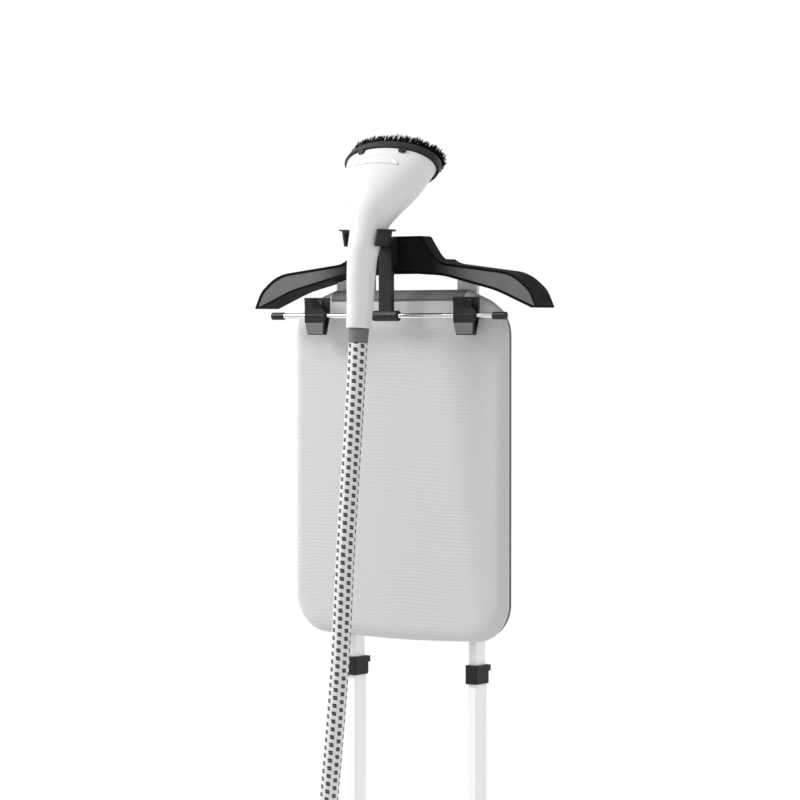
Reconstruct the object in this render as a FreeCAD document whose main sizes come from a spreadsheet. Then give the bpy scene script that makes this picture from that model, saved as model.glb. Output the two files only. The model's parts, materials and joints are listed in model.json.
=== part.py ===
import FreeCAD, Part
import Sketcher

import math
import os
import re

from FreeCAD import Placement, Rotation, Vector

# Stand-up garment steamer: a wheeled base with boiler and water tank, two telescopic poles,
# a clothes hanger with a trouser bar and clips, a press board, and a handset on a hose.
# Millimetres, +Z up, -Y is the front, origin on the floor under the middle of the base.

SIZES = {
    # base
    "base_width": 320, "base_depth": 340, "base_corner": 70, "wall": 3,
    "foot_tall": 8, "foot_radius": 13, "tray_tall": 40, "deck_tall": 36, "deck_round": 4,
    "tower_width": 290, "tower_depth": 186, "tower_corner": 45, "tower_y": 68,
    "tower_tall": 121, "tower_round": 16,
    "front_foot_x": 105, "front_foot_y": -125, "rear_foot_x": 92, "rear_foot_y": 142,
    "screw_x": 60, "screw_front_y": -140, "screw_rear_y": 163, "boss_radius": 7,
    "screw_radius": 2, "screw_head": 4.2, "control_y": 24, "control_x": 95,
    # wheels
    "wheel_radius": 20, "wheel_wide": 16, "wheel_x": 128, "wheel_y": 140, "wheel_lift": 2.5,
    "axle_radius": 3, "running_gap": 0.05, "well_gap": 3,
    # water tank
    "tank_width": 270, "tank_depth": 132, "tank_corner": 52, "tank_y": -96, "tank_tall": 131,
    "tank_wall": 2.5, "tank_round": 12, "neck_x": 70, "neck_radius": 25, "neck_tall": 8,
    "valve_x": -60, "valve_radius": 8, "gap": 0.3,
    # controls and connector
    "dial_radius": 22, "dial_corner": 21.9, "dial_tall": 17, "shaft_radius": 4,
    "pedal_radius": 20, "pedal_tall": 14,
    "connector_radius": 22, "connector_neck": 14, "connector_tall": 20, "pipe_radius": 5,
    # works inside the base
    "boiler_width": 110, "boiler_depth": 90, "boiler_tall": 69, "boiler_y": 60,
    "pump_radius": 18, "pump_length": 70, "board_thick": 1.6, "card_wide": 66,
    "inlet_radius": 9, "inlet_bore": 3.6, "inlet_height": 62,
    # telescopic poles
    "pole_x": 89, "pole_y": 99, "pole_wall": 0.95, "tube_round": 1.33, "slide_gap": 0.3,
    "upper_wide": 10.5, "upper_deep": 20, "upper_low": 1013, "upper_high": 1494,
    "middle_wide": 13, "middle_deep": 22.5, "middle_low": 595, "middle_high": 1071,
    "lower_wide": 15.5, "lower_deep": 25, "lower_low": 120, "lower_high": 653,
    "collar_tall": 22.4, "collar_lip": 2.4, "collar_wall": 1.75, "collar_corner": 2.5,
    "lever_half": 2.7, "lever_pin": 1.5, "lever_reach": 3.7, "lever_drop": 5.5, "lever_long": 15.5,
    "lever_thick": 2.8, "cam_radius": 3.4, "ear_thick": 2.6, "ear_tall": 7.5, "ear_root": 0.5,
    "socket_wide": 32, "socket_deep": 42, "socket_tall": 112, "socket_flange": 6,
    # press board
    "board_top": 1516, "board_low": 1100, "board_half": 155, "board_front": 56.5,
    "pad_thick": 14, "plate_thick": 3, "shell_thick": 4.5, "shell_inset": 3,
    # brackets, hanger, trouser bar
    "bracket_wide": 28, "bracket_thick": 5, "bracket_low": 1440, "bracket_high": 1540,
    "holder_wide": 15.5, "holder_back": 112, "holder_depth": 34, "holder_roof": 4,
    "hanger_front": 49, "hanger_deep": 37, "hanger_datum": 1469,
    "block_back": 67.5, "block_half": 66, "block_low": 1549,
    "bar_y": 39, "bar_z": 1486, "bar_radius": 3.2, "bar_length": 324,
    "cap_radius": 4.5, "cap_length": 17, "cap_cover": 8.5,
    "sleeve_radius": 6.3, "sleeve_length": 35, "arm_wide": 18.4, "arm_thick": 6, "arm_foot": 22,
    "clip_wide": 29, "clip_ring": 6.4, "clip_left_x": -103, "clip_right_x": 115, "ring_keep": 2,
    "leaf_thick": 0.6, "leaf_tall": 9, "leaf_y": 2.8, "leaf_up": 10,
    # fork and handset
    "fork_low": 1567, "fork_tall": 20, "fork_centre_y": 6, "fork_front": -13,
    "fork_gap_low": 20.9, "fork_gap_high": 24.3, "fork_wall": 2.7, "flange_out": 4, "flange_thick": 1.8,
    "root_tall": 12,
    "grip_y": -15.5, "grip_z": 1471, "grip_radius": 14.8, "grip_lean": 5, "shell_wall": 2.5,
    "cuff_high": 12.1, "cuff_low": 11.3, "cuff_tall": 17,
    "mouth_y": 48, "mouth_z": 1661.5, "mouth_lean": 50, "mouth_half": 64, "mouth_deep": 29,
    "plate_gap": 0.4, "plate_thick_steam": 4, "frame_out": 3.5, "frame_in": 9, "frame_tall": 9.2,
    "bristle_gap": 0.01, "bristle_tall": 11.8, "bristle_out": 1.5, "bristle_in": 7,
    "trigger_wide": 14, "trigger_tall": 34, "trigger_low": 1514, "trigger_deep": 12,
    "steam_tube": 4.5, "hose_radius": 11,
}

doc = FreeCAD.newDocument("garment_steamer")
sheet = doc.addObject("Spreadsheet::Sheet", "dims")
for row, (alias, number) in enumerate(SIZES.items(), start=1):
    sheet.set(f"A{row}", alias.replace("_", " "))
    sheet.set(f"B{row}", str(number))
    sheet.setAlias(f"B{row}", alias)
doc.recompute()

nodes = {}


def size(alias):
    """A number read back from the sheet."""
    return float(sheet.get(alias))


def formula(text):
    """An expression with each alias written as a cell of the sheet."""
    return re.sub(r"[a-z][a-z_]+", lambda word: "dims." + word.group(0), str(text))


def bind(item, properties):
    """Bind properties to formulas of the sheet's aliases."""
    for name, text in properties.items():
        item.setExpression(name, formula(text))
    return item


def put(item, place, rotation=None):
    """Turn an object, and bind its place to three formulas."""
    item.Placement = Placement(Vector(), rotation or Rotation())
    return bind(item, {f"Placement.Base.{axis}": text for axis, text in zip("xyz", place)})


def node(name, item):
    """Register a finished sub-part under the name of its node."""
    item.Label = name
    nodes[name] = item
    return item


# ---- plain solids and booleans ----

ALONG = {
    "x": Rotation(Vector(0, 1, 0), 90),
    "y": Rotation(Vector(1, 0, 0), -90),
    "z": Rotation(),
}


def block(name, extent, low):
    """An upright box from its three sizes and its lowest corner."""
    item = doc.addObject("Part::Box", name)
    bind(item, dict(zip(("Length", "Width", "Height"), extent)))
    return put(item, low)


def cylinder(name, radius, length, start, along="z"):
    """A round bar that starts at a point and runs along an axis."""
    item = doc.addObject("Part::Cylinder", name)
    bind(item, {"Radius": radius, "Height": length})
    return put(item, start, ALONG[along])


def cone(name, low_radius, high_radius, length, start, rotation=None):
    """A tapered round bar, +Z before it is turned."""
    item = doc.addObject("Part::Cone", name)
    bind(item, {"Radius1": low_radius, "Radius2": high_radius, "Height": length})
    return put(item, start, rotation)


def fuse(name, *items):
    """One solid from several."""
    item = doc.addObject("Part::MultiFuse", name)
    item.Shapes = list(items)
    return item


def group(name, items):
    """Separate solids of one kind, kept apart in one sub-part."""
    item = doc.addObject("Part::Compound", name)
    item.Links = list(items)
    return item


def cut(name, base, *tools):
    """The base without its tools."""
    for number, tool in enumerate(tools):
        item = doc.addObject("Part::Cut", name if tool is tools[-1] else f"{name}_cut_{number}")
        item.Base = base
        item.Tool = tool
        base = item
    return base


def common(name, first, second):
    """What two solids share."""
    item = doc.addObject("Part::Common", name)
    item.Base = first
    item.Tool = second
    return item


# ---- sketched solids ----

def start_sketch(body, name, role):
    """A sketch on one of the body's own origin planes."""
    plane = next(item for item in body.Origin.OriginFeatures if item.Role == role)
    sketch = body.newObject("Sketcher::SketchObject", name + "_sketch")
    sketch.AttachmentSupport = (plane, [""])
    sketch.MapMode = "FlatFace"
    return sketch


def rounded_block(name, width, depth, corner, tall, place, top_round=None):
    """An upright block with round corners, centred in X and Y on its place."""
    body = doc.addObject("PartDesign::Body", name)
    sketch = start_sketch(body, name, "XY_Plane")
    half_x, half_y, r = 50.0, 40.0, 5.0
    inner_x, inner_y = half_x - r, half_y - r
    flat = [((-inner_x, -half_y), (inner_x, -half_y)), ((half_x, -inner_y), (half_x, inner_y)),
            ((inner_x, half_y), (-inner_x, half_y)), ((-half_x, inner_y), (-half_x, -inner_y))]
    centres = [(inner_x, -inner_y), (inner_x, inner_y), (-inner_x, inner_y), (-inner_x, -inner_y)]
    for turn, (ends, middle) in enumerate(zip(flat, centres)):
        sketch.addGeometry(Part.LineSegment(*(Vector(*end) for end in ends)))
        circle = Part.Circle(Vector(*middle), Vector(0, 0, 1), r)
        first = (turn - 1) * math.pi / 2
        sketch.addGeometry(Part.ArcOfCircle(circle, first, first + math.pi / 2))
    for line in (0, 2, 4, 6):
        arc, following = line + 1, (line + 2) % 8
        sketch.addConstraint(Sketcher.Constraint("Tangent", line, 2, arc, 1))
        sketch.addConstraint(Sketcher.Constraint("Tangent", arc, 2, following, 1))
        sketch.addConstraint(Sketcher.Constraint("Vertical" if line in (2, 6) else "Horizontal", line))
        if line:
            sketch.addConstraint(Sketcher.Constraint("Equal", 1, arc))
    limits = [("radius", Sketcher.Constraint("Radius", 1, r), corner),
              ("right", Sketcher.Constraint("DistanceX", -1, 1, 2, 1, half_x), f"({width}) / 2"),
              ("left", Sketcher.Constraint("DistanceX", 6, 1, -1, 1, half_x), f"({width}) / 2"),
              ("back", Sketcher.Constraint("DistanceY", -1, 1, 4, 1, half_y), f"({depth}) / 2"),
              ("front", Sketcher.Constraint("DistanceY", 0, 1, -1, 1, half_y), f"({depth}) / 2")]
    for word, limit, text in limits:
        sketch.renameConstraint(sketch.addConstraint(limit), word)
    for word, limit, text in limits:
        bind(sketch, {"Constraints." + word: text})
    pad = body.newObject("PartDesign::Pad", name + "_pad")
    pad.Profile = sketch
    bind(pad, {"Length": tall})
    if top_round:
        round_top(body, pad, top_round)
    return put(body, place)


def round_top(body, pad, radius):
    """Round the upper edges of a pad."""
    doc.recompute()
    top = pad.Shape.BoundBox.ZMax
    names = [f"Edge{number}" for number, edge in enumerate(pad.Shape.Edges, start=1)
             if edge.BoundBox.ZMin > top - 0.01]
    softened = body.newObject("PartDesign::Fillet", body.Name + "_round")
    softened.Base = (pad, names)
    bind(softened, {"Radius": radius})


def outline(corners):
    """Lines and tangent arcs round a closed polygon of (across, up, corner radius)."""
    edges = []
    joints = []
    count = len(corners)
    for index in range(count):
        before, here, after = (Vector(*corners[(index + step) % count][:2]) for step in (-1, 0, 1))
        radius = corners[index][2]
        arriving = (here - before).normalize()
        leaving = (after - here).normalize()
        turn = arriving.getAngle(leaving)
        if not radius or turn < 1e-4:
            joints.append((here, here))
            continue
        reach = radius * math.tan(turn / 2)
        start, end = here - arriving * reach, here + leaving * reach
        inward = (leaving - arriving).normalize()
        middle = here + inward * (radius / math.cos(turn / 2) - radius)
        edges.append(Part.Arc(start, middle, end))
        joints.append((start, end))
    for index in range(count):
        start, end = joints[index][1], joints[(index + 1) % count][0]
        if start.distanceToPoint(end) > 1e-6:
            edges.append(Part.LineSegment(start, end))
    return edges


def prism(name, role, corners, length, place, symmetric=False):
    """A body padded from a rounded polygon on an upright plane."""
    body = doc.addObject("PartDesign::Body", name)
    sketch = start_sketch(body, name, role)
    sketch.addGeometry(outline(corners))
    pad = body.newObject("PartDesign::Pad", name + "_pad")
    pad.Profile = sketch
    bind(pad, {"Length": length})
    if symmetric:
        pad.SideType = "Symmetric"
    return put(body, place)


def mirror_corners(corners):
    """A half outline from the top middle to the bottom middle, completed on the left."""
    left = [(-across, up, radius) for across, up, radius in reversed(corners) if across]
    return corners + left


# ---- base ----

TRAY_TOP = "foot_tall + tray_tall"
DECK_TOP = "foot_tall + tray_tall + deck_tall"
TOWER_TOP = "foot_tall + tray_tall + deck_tall + tower_tall"
SCREW_PLACES = [("-screw_x", "screw_front_y"), ("screw_x", "screw_front_y"),
                ("-screw_x", "screw_rear_y"), ("screw_x", "screw_rear_y")]
FOOT_PLACES = [("-front_foot_x", "front_foot_y"), ("front_foot_x", "front_foot_y"),
               ("-rear_foot_x", "rear_foot_y"), ("rear_foot_x", "rear_foot_y")]


def posts_at(name, radius, tall, low):
    """One upright round bar at each screw."""
    return [cylinder(f"{name}_{number}", radius, tall, (x, y, low))
            for number, (x, y) in enumerate(SCREW_PLACES)]


def build_tray():
    """Open tray with two wheel wells, four screw posts and holes for the axle."""
    outer = rounded_block("tray_outer", "base_width", "base_depth", "base_corner", "tray_tall",
                          ("0", "0", "foot_tall"))
    room = rounded_block("tray_room", "base_width - 2 * wall", "base_depth - 2 * wall",
                         "base_corner - wall", "tray_tall", ("0", "0", "foot_tall + wall"))
    wells, pockets = [], []
    for side, sign in (("left", "-1"), ("right", "1")):
        middle = f"{sign} * wheel_x"
        pocket_wide = "wheel_wide + 2 * well_gap"
        well_wide = "wheel_wide + 2 * well_gap + 2 * wall"
        front = "wheel_y - wheel_radius - 2 * well_gap"
        roof = "wheel_lift + 2 * wheel_radius + 2 * wall - foot_tall"
        wells.append(block(f"well_{side}", (well_wide, "base_depth / 2", roof),
                           (f"{middle} - ({well_wide}) / 2", f"{front} - wall", "foot_tall")))
        pockets.append(block(f"well_pocket_{side}",
                             (pocket_wide, "base_depth / 2", "wheel_lift + 2 * wheel_radius + wall"),
                             (f"{middle} - ({pocket_wide}) / 2", front, "0")))
    posts = posts_at("tray_post", "boss_radius", "2 * tray_tall", "foot_tall")
    heads = posts_at("tray_bore", "screw_head + wall / 10", "2 * wall", "foot_tall")
    shanks = posts_at("tray_hole", "screw_radius + wall / 10", "2 * tray_tall", "foot_tall")
    axle_hole = cylinder("axle_hole", "axle_radius", "2 * base_width",
                         ("-base_width", "wheel_y", "wheel_lift + wheel_radius"), "x")
    hollow = cut("tray_hollow", room, fuse("tray_kept", *wells, *posts))
    node("base_tray", cut("base_tray_body", outer, hollow, *pockets, *heads, *shanks, axle_hole))


def build_housing():
    """Hollow cover: a low deck for the tank in front, and a tower behind it."""
    outer = fuse("housing_outer", rounded_block(
        "deck_outer", "base_width", "base_depth", "base_corner", "deck_tall",
        ("0", "0", TRAY_TOP), "deck_round"), rounded_block(
        "tower_outer", "tower_width", "tower_depth", "tower_corner", "tower_tall + wall",
        ("0", "tower_y", f"{DECK_TOP} - wall"), "tower_round"))
    room = fuse("housing_room", rounded_block(
        "deck_room", "base_width - 2 * wall", "base_depth - 2 * wall", "base_corner - wall",
        "deck_tall", ("0", "0", f"{TRAY_TOP} - wall")), rounded_block(
        "tower_room", "tower_width - 2 * wall", "tower_depth - 2 * wall", "tower_corner - wall",
        "tower_tall + wall", ("0", "tower_y", f"{DECK_TOP} - 2 * wall"), "tower_round - wall"))
    posts = posts_at("housing_post", "boss_radius", "2 * deck_tall", TRAY_TOP + " - deck_tall")
    hollow = cut("housing_hollow", room, fuse("housing_posts", *posts))
    holes = posts_at("housing_hole", "screw_radius", "deck_tall - 2 * wall", f"{TRAY_TOP} - wall")
    under = f"{TOWER_TOP} - 2 * wall"
    for side, sign in (("left", "-1"), ("right", "1")):
        holes.append(block(f"socket_hole_{side}", ("socket_wide", "socket_deep", "4 * wall"),
                           (f"{sign} * pole_x - socket_wide / 2", "pole_y - socket_deep / 2", under)))
    holes += [
        cylinder("dial_hole", "shaft_radius + running_gap", "4 * wall", ("control_x", "control_y", under)),
        cylinder("pedal_hole", "pedal_radius + gap", "4 * wall", ("-control_x", "control_y", under)),
        cylinder("pipe_hole", "pipe_radius", "4 * wall", ("0", "control_y", under)),
        cylinder("valve_hole", "valve_radius + 1", "4 * wall",
                 ("valve_x", "tank_y", f"{DECK_TOP} - 2 * wall")),
        cylinder("inlet_hole", "inlet_radius", "4 * wall",
                 ("0", "base_depth / 2 - 2 * wall", "inlet_height"), "y"),
    ]
    node("upper_housing", cut("upper_housing_body", outer, hollow, *holes))


def build_base_fittings():
    """Feet, screws, wheels and axle, pole sockets, inlet and connector."""
    feet = [cylinder(f"foot_{number}", "foot_radius", "foot_tall", (x, y, "0"))
            for number, (x, y) in enumerate(FOOT_PLACES)]
    node("rubber_feet", group("rubber_feet_group", feet))
    screws = []
    for number, (x, y) in enumerate(SCREW_PLACES):
        head = cylinder(f"screw_head_{number}", "screw_head", "wall", (x, y, "foot_tall + wall"))
        shank = cylinder(f"screw_shank_{number}", "screw_radius", "tray_tall + deck_tall - 6 * wall",
                         (x, y, "foot_tall + 2 * wall"))
        screws.append(fuse(f"screw_{number}", head, shank))
    node("base_screws", group("base_screws_group", screws))
    centre = "wheel_lift + wheel_radius"
    half = "wheel_x + wheel_wide / 2 + well_gap + wall"
    node("wheel_axle",
         cylinder("axle", "axle_radius", f"2 * ({half})", (f"-({half})", "wheel_y", centre), "x"))
    for side, sign in (("left", "-1"), ("right", "1")):
        low = f"{sign} * wheel_x - wheel_wide / 2"
        tyre = cylinder(f"tyre_{side}", "wheel_radius", "wheel_wide", (low, "wheel_y", centre), "x")
        bore = cylinder(f"wheel_bore_{side}", "axle_radius + running_gap", "wheel_wide",
                        (low, "wheel_y", centre), "x")
        node(f"wheel_{side}", cut(f"wheel_{side}_body", tyre, bore))
    sockets = []
    for side, sign in (("left", "-1"), ("right", "1")):
        x = f"{sign} * pole_x"
        stem_low = "lower_low - wall"
        stem = block(f"socket_stem_{side}", ("socket_wide", "socket_deep", "socket_tall"),
                     (f"{x} - socket_wide / 2", "pole_y - socket_deep / 2", stem_low))
        flange = rounded_block(f"socket_flange_{side}", "socket_wide + 2 * socket_flange",
                               "socket_deep + 2 * socket_flange", "socket_flange", "socket_flange",
                               (x, "pole_y", TOWER_TOP))
        hole = block(f"socket_bore_{side}", ("lower_wide + gap", "lower_deep + gap", "2 * socket_tall"),
                     (f"{x} - (lower_wide + gap) / 2", "pole_y - (lower_deep + gap) / 2", "lower_low"))
        sockets.append(cut(f"socket_{side}", fuse(f"socket_solid_{side}", stem, flange), hole))
    node("pole_sockets", group("pole_sockets_group", sockets))
    bush = cylinder("inlet_bush", "inlet_radius", "4 * wall",
                    ("0", "base_depth / 2 - 4 * wall", "inlet_height"), "y")
    rim = cylinder("inlet_rim", "inlet_radius + wall", "3 * wall",
                   ("0", "base_depth / 2 - 4 * wall", "inlet_height"), "y")
    way = cylinder("inlet_way", "inlet_bore", "4 * wall",
                   ("0", "base_depth / 2 - 4 * wall", "inlet_height"), "y")
    node("cord_inlet", cut("cord_inlet_body", fuse("inlet_solid", bush, rim), way))
    flange = cylinder("connector_flange", "connector_radius", "socket_flange", ("0", "control_y", TOWER_TOP))
    neck = cone("connector_taper", "connector_neck + wall", "connector_neck", "connector_tall",
                ("0", "control_y", TOWER_TOP))
    bore = cylinder("connector_bore", "pipe_radius - wall / 2", "connector_tall",
                    ("0", "control_y", TOWER_TOP))
    node("hose_connector", cut("hose_connector_body", fuse("connector_solid", flange, neck), bore))


def build_works():
    """Boiler, steam pipe, pump, circuit board and the seat of the tank valve."""
    floor = "foot_tall + wall"
    node("boiler",
         rounded_block("boiler_block", "boiler_width", "boiler_depth", "base_corner / 5", "boiler_tall",
                                 ("0", "boiler_y", floor), "2 * deck_round"))
    low = f"{floor} + boiler_tall"
    pipe = cylinder("pipe_outer", "pipe_radius", f"{TOWER_TOP} - ({low})", ("0", "control_y", low))
    bore = cylinder("pipe_bore", "pipe_radius - wall / 2", f"{TOWER_TOP} - ({low})", ("0", "control_y", low))
    node("steam_pipe", cut("steam_pipe_body", pipe, bore))
    barrel = cylinder("pump_barrel", "pump_radius", "pump_length",
                      ("valve_x", "-pump_length - wall", f"{floor} + pump_radius"), "y")
    base = block("pump_base", ("2 * pump_radius", "pump_length / 2", "pump_radius"),
                 ("valve_x - pump_radius", "-pump_length", floor))
    node("pump", fuse("pump_body", barrel, base))
    node("circuit_board", block("circuit_board_sheet", ("card_wide", "board_thick", "boiler_tall - wall"),
                                ("boiler_width / 2 + 2 * wall", "boiler_y", floor)))
    seat_low = f"{DECK_TOP} - 7 * wall"
    seat = cylinder("seat_outer", "valve_radius + 2 * wall", "6 * wall", ("valve_x", "tank_y", seat_low))
    cup = cylinder("seat_cup", "valve_radius + gap", "5 * wall",
                   ("valve_x", "tank_y", f"{seat_low} + 2 * wall"))
    drain = cylinder("seat_drain", "wall", "6 * wall", ("valve_x", "tank_y", seat_low))
    node("valve_seat", cut("valve_seat_body", seat, cup, drain))


def build_tank():
    """Clear water tank with a filler neck, its cap and its outlet valve."""
    low = f"{DECK_TOP} + gap"
    outer = rounded_block("tank_outer", "tank_width", "tank_depth", "tank_corner", "tank_tall",
                          ("0", "tank_y", low), "tank_round")
    inner = rounded_block("tank_inner", "tank_width - 2 * tank_wall", "tank_depth - 2 * tank_wall",
                          "tank_corner - tank_wall", "tank_tall - 2 * tank_wall",
                          ("0", "tank_y", f"{low} + tank_wall"), "tank_round - tank_wall")
    top = f"{low} + tank_tall"
    neck = cylinder("neck_outer", "neck_radius", "neck_tall + tank_wall",
                    ("neck_x", "tank_y", f"{top} - tank_wall"))
    mouth = cylinder("neck_inner", "neck_radius - wall", "neck_tall + 4 * tank_wall",
                     ("neck_x", "tank_y", f"{top} - 2 * tank_wall"))
    outlet = cylinder("tank_outlet", "valve_radius", "2 * tank_wall",
                      ("valve_x", "tank_y", f"{low} - tank_wall / 2"))
    shell = cut("tank_shell", outer, inner)
    node("water_tank", cut("water_tank_body", fuse("tank_solid", shell, neck), mouth, outlet))
    cover = cylinder("cap_outer", "neck_radius + wall", "neck_tall + wall",
                     ("neck_x", "tank_y", f"{top} + gap"))
    hollow = cylinder("cap_inner", "neck_radius + gap", "neck_tall", ("neck_x", "tank_y", f"{top} + gap"))
    node("tank_cap", cut("tank_cap_body", cover, hollow))
    spigot = cylinder("valve_spigot", "valve_radius", "5 * wall",
                      ("valve_x", "tank_y", f"{low} + tank_wall - 4 * wall"))
    flange = cylinder("valve_flange", "valve_radius + wall", "wall",
                      ("valve_x", "tank_y", f"{low} + tank_wall"))
    node("tank_valve", fuse("tank_valve_body", spigot, flange))


def build_controls():
    """Steam dial and foot-operated power button."""
    knob = rounded_block("dial_knob", "2 * dial_radius", "2 * dial_radius", "dial_corner", "dial_tall",
                         ("control_x", "control_y", f"{TOWER_TOP} + gap"), "wall / 2")
    shaft = cylinder("dial_shaft", "shaft_radius", "5 * wall",
                     ("control_x", "control_y", f"{TOWER_TOP} - 4 * wall"))
    node("steam_dial", fuse("steam_dial_body", knob, shaft))
    button = cylinder("pedal_button", "pedal_radius", "pedal_tall",
                      ("-control_x", "control_y", f"{TOWER_TOP} + 2 * wall - pedal_tall"))
    stop = cylinder("pedal_stop", "pedal_radius + wall", "wall",
                    ("-control_x", "control_y", f"{TOWER_TOP} - 2 * wall - gap"))
    node("power_pedal", fuse("power_pedal_body", button, stop))


# ---- telescopic poles ----

STAGES = ("lower", "middle", "upper")


def tube(name, stage, side_x):
    """One flat rectangular tube of a pole."""
    wide, deep = f"{stage}_wide", f"{stage}_deep"
    long = f"{stage}_high - {stage}_low"
    outer = rounded_block(f"{name}_outer", wide, deep, "tube_round", long, (side_x, "pole_y", f"{stage}_low"))
    inner = rounded_block(f"{name}_inner", f"{wide} - 2 * pole_wall", f"{deep} - 2 * pole_wall",
                          "tube_round - pole_wall", long, (side_x, "pole_y", f"{stage}_low"))
    return node(name, cut(f"{name}_tube", outer, inner))


def collar(name, stage, following, side_x):
    """Collar on a tube's top end, with two ears behind it for the lock lever."""
    top = f"{stage}_high + collar_lip"
    low = f"{top} - collar_tall"
    wide, deep = f"{stage}_wide + 2 * collar_wall", f"{stage}_deep + 3 * collar_wall"
    body = rounded_block(f"{name}_outer", wide, deep, "collar_corner", "collar_tall",
                         (side_x, "pole_y", low), "1")
    rear = f"pole_y + ({deep}) / 2"
    ears = [block(f"{name}_ear_{word}", ("ear_thick", "ear_root + lever_reach + 2 * lever_pin", "ear_tall"),
                  (f"{side_x} + {offset}", f"{rear} - ear_root", f"{top} - lever_drop - 2 * lever_pin"))
            for word, offset in (("a", "lever_half + gap"), ("b", "-1 * (lever_half + gap + ear_thick)"))]
    seat = rounded_block(f"{name}_seat", f"{stage}_wide", f"{stage}_deep", "tube_round",
                         "collar_tall - collar_lip", (side_x, "pole_y", low))
    lip = rounded_block(f"{name}_lip", f"{following}_wide + 2 * slide_gap",
                        f"{following}_deep + 2 * slide_gap",
                        "tube_round", "collar_tall + 2", (side_x, "pole_y", low))
    pin_hole = cylinder(f"{name}_pin_hole", "lever_pin + running_gap", "8 * ear_thick",
                        (f"{side_x} - 4 * ear_thick", f"{rear} + lever_reach", f"{top} - lever_drop"), "x")
    node(name, cut(f"{name}_body", fuse(f"{name}_solid", body, *ears), seat, lip, pin_hole))


def lever(name, stage, side_x):
    """Cam lever with its pin, hanging closed behind the collar."""
    rear = f"pole_y + ({stage}_deep + 3 * collar_wall) / 2"
    height = f"{stage}_high + collar_lip - lever_drop"
    axis_y = f"{rear} + lever_reach"
    pin_half = "(lever_half + gap + ear_thick)"
    cam = cylinder(f"{name}_cam", "cam_radius", "2 * lever_half",
                   (f"{side_x} - lever_half", axis_y, height), "x")
    flap = block(f"{name}_flap", ("2 * lever_half", "lever_thick", "lever_long"),
                 (f"{side_x} - lever_half", axis_y, f"{height} - lever_long"))
    pin = cylinder(f"{name}_pin", "lever_pin", f"2 * {pin_half}",
                   (f"{side_x} - {pin_half}", axis_y, height), "x")
    node(name, fuse(f"{name}_body", cam, flap, pin))


def build_poles():
    """Three nested tubes a side, with collars and lock levers on the lower two."""
    for side, side_x in (("left", "-pole_x"), ("right", "pole_x")):
        for stage in STAGES:
            tube(f"{stage}_tube_{side}", stage, side_x)
        for stage, following in zip(STAGES, STAGES[1:]):
            collar(f"{stage}_collar_{side}", stage, following, side_x)
            lever(f"{stage}_lever_{side}", stage, side_x)


# ---- press board ----

def board_corners(inset):
    """The board's outline: a neck with sloping shoulders, round foot corners, a bowed foot."""
    top = size("board_top") - inset
    low = size("board_low") + inset
    half = size("board_half") - inset
    shoulder = [(100 - inset, top, 10), (half, top - 22, 45 - inset)]
    foot = [(half, low + 5, 46 - inset), (0, low, 1500)]
    return mirror_corners(shoulder + foot)


def build_board():
    """Fabric pad on a stiff plate, with a back shell."""
    layers = [("board_pad", 0, "pad_thick"), ("board_plate", size("shell_inset"), "plate_thick"),
              ("board_back_shell", size("shell_inset"), "shell_thick")]
    reached = "board_front"
    for name, inset, thick in layers:
        reached = f"{reached} + {thick}"
        node(name, prism(f"{name}_body", "XZ_Plane", board_corners(inset), thick, ("0", reached, "0")))


# ---- hanger, brackets and trouser bar ----

def build_hanger():
    """Contoured hanger of one depth, with pockets for the two bracket tongues."""
    datum = size("hanger_datum")
    shape = [(44.5, 111, 5), (66, 80, 34), (172, 67, 60), (197, 47, 30), (207, 26, 1.5), (199, 26, 8),
             (150, 46, 150), (75, 64, 100), (26, 67, 100)]
    corners = mirror_corners([(across, datum + up, radius) for across, up, radius in shape])
    body = prism("hanger_profile", "XZ_Plane", corners, "hanger_deep",
                 ("0", "hanger_front + hanger_deep", "0"))
    back = "board_front + pad_thick + plate_thick + shell_thick"
    pockets = [block(f"hanger_pocket_{side}", ("bracket_wide", "bracket_thick", "bracket_high - bracket_low"),
                     (f"{x} - bracket_wide / 2", back, "bracket_low"))
               for side, x in (("left", "-pole_x"), ("right", "pole_x"))]
    relief = block("hanger_relief", ("2 * block_half", "hanger_deep", "bracket_wide + hanger_deep"),
                   ("-block_half", "block_back", "block_low"))
    node("hanger", cut("hanger_body", body, relief, *pockets))
    for side, x in (("left", "-pole_x"), ("right", "pole_x")):
        tongue = block(f"tongue_{side}", ("bracket_wide", "bracket_thick", "bracket_high - bracket_low"),
                       (f"{x} - bracket_wide / 2", back, "bracket_low"))
        start = f"{back} + bracket_thick"
        holder = block(f"holder_{side}",
                       ("holder_wide", f"holder_back - ({start})", "holder_depth + holder_roof"),
                       (f"{x} - holder_wide / 2", start, "upper_high - holder_depth"))
        room = rounded_block(f"holder_bore_{side}", "upper_wide", "upper_deep", "tube_round", "holder_depth",
                             (x, "pole_y", "upper_high - holder_depth"))
        node(f"bracket_{side}",
             cut(f"bracket_{side}_body", fuse(f"bracket_{side}_solid", tongue, holder), room))


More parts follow.
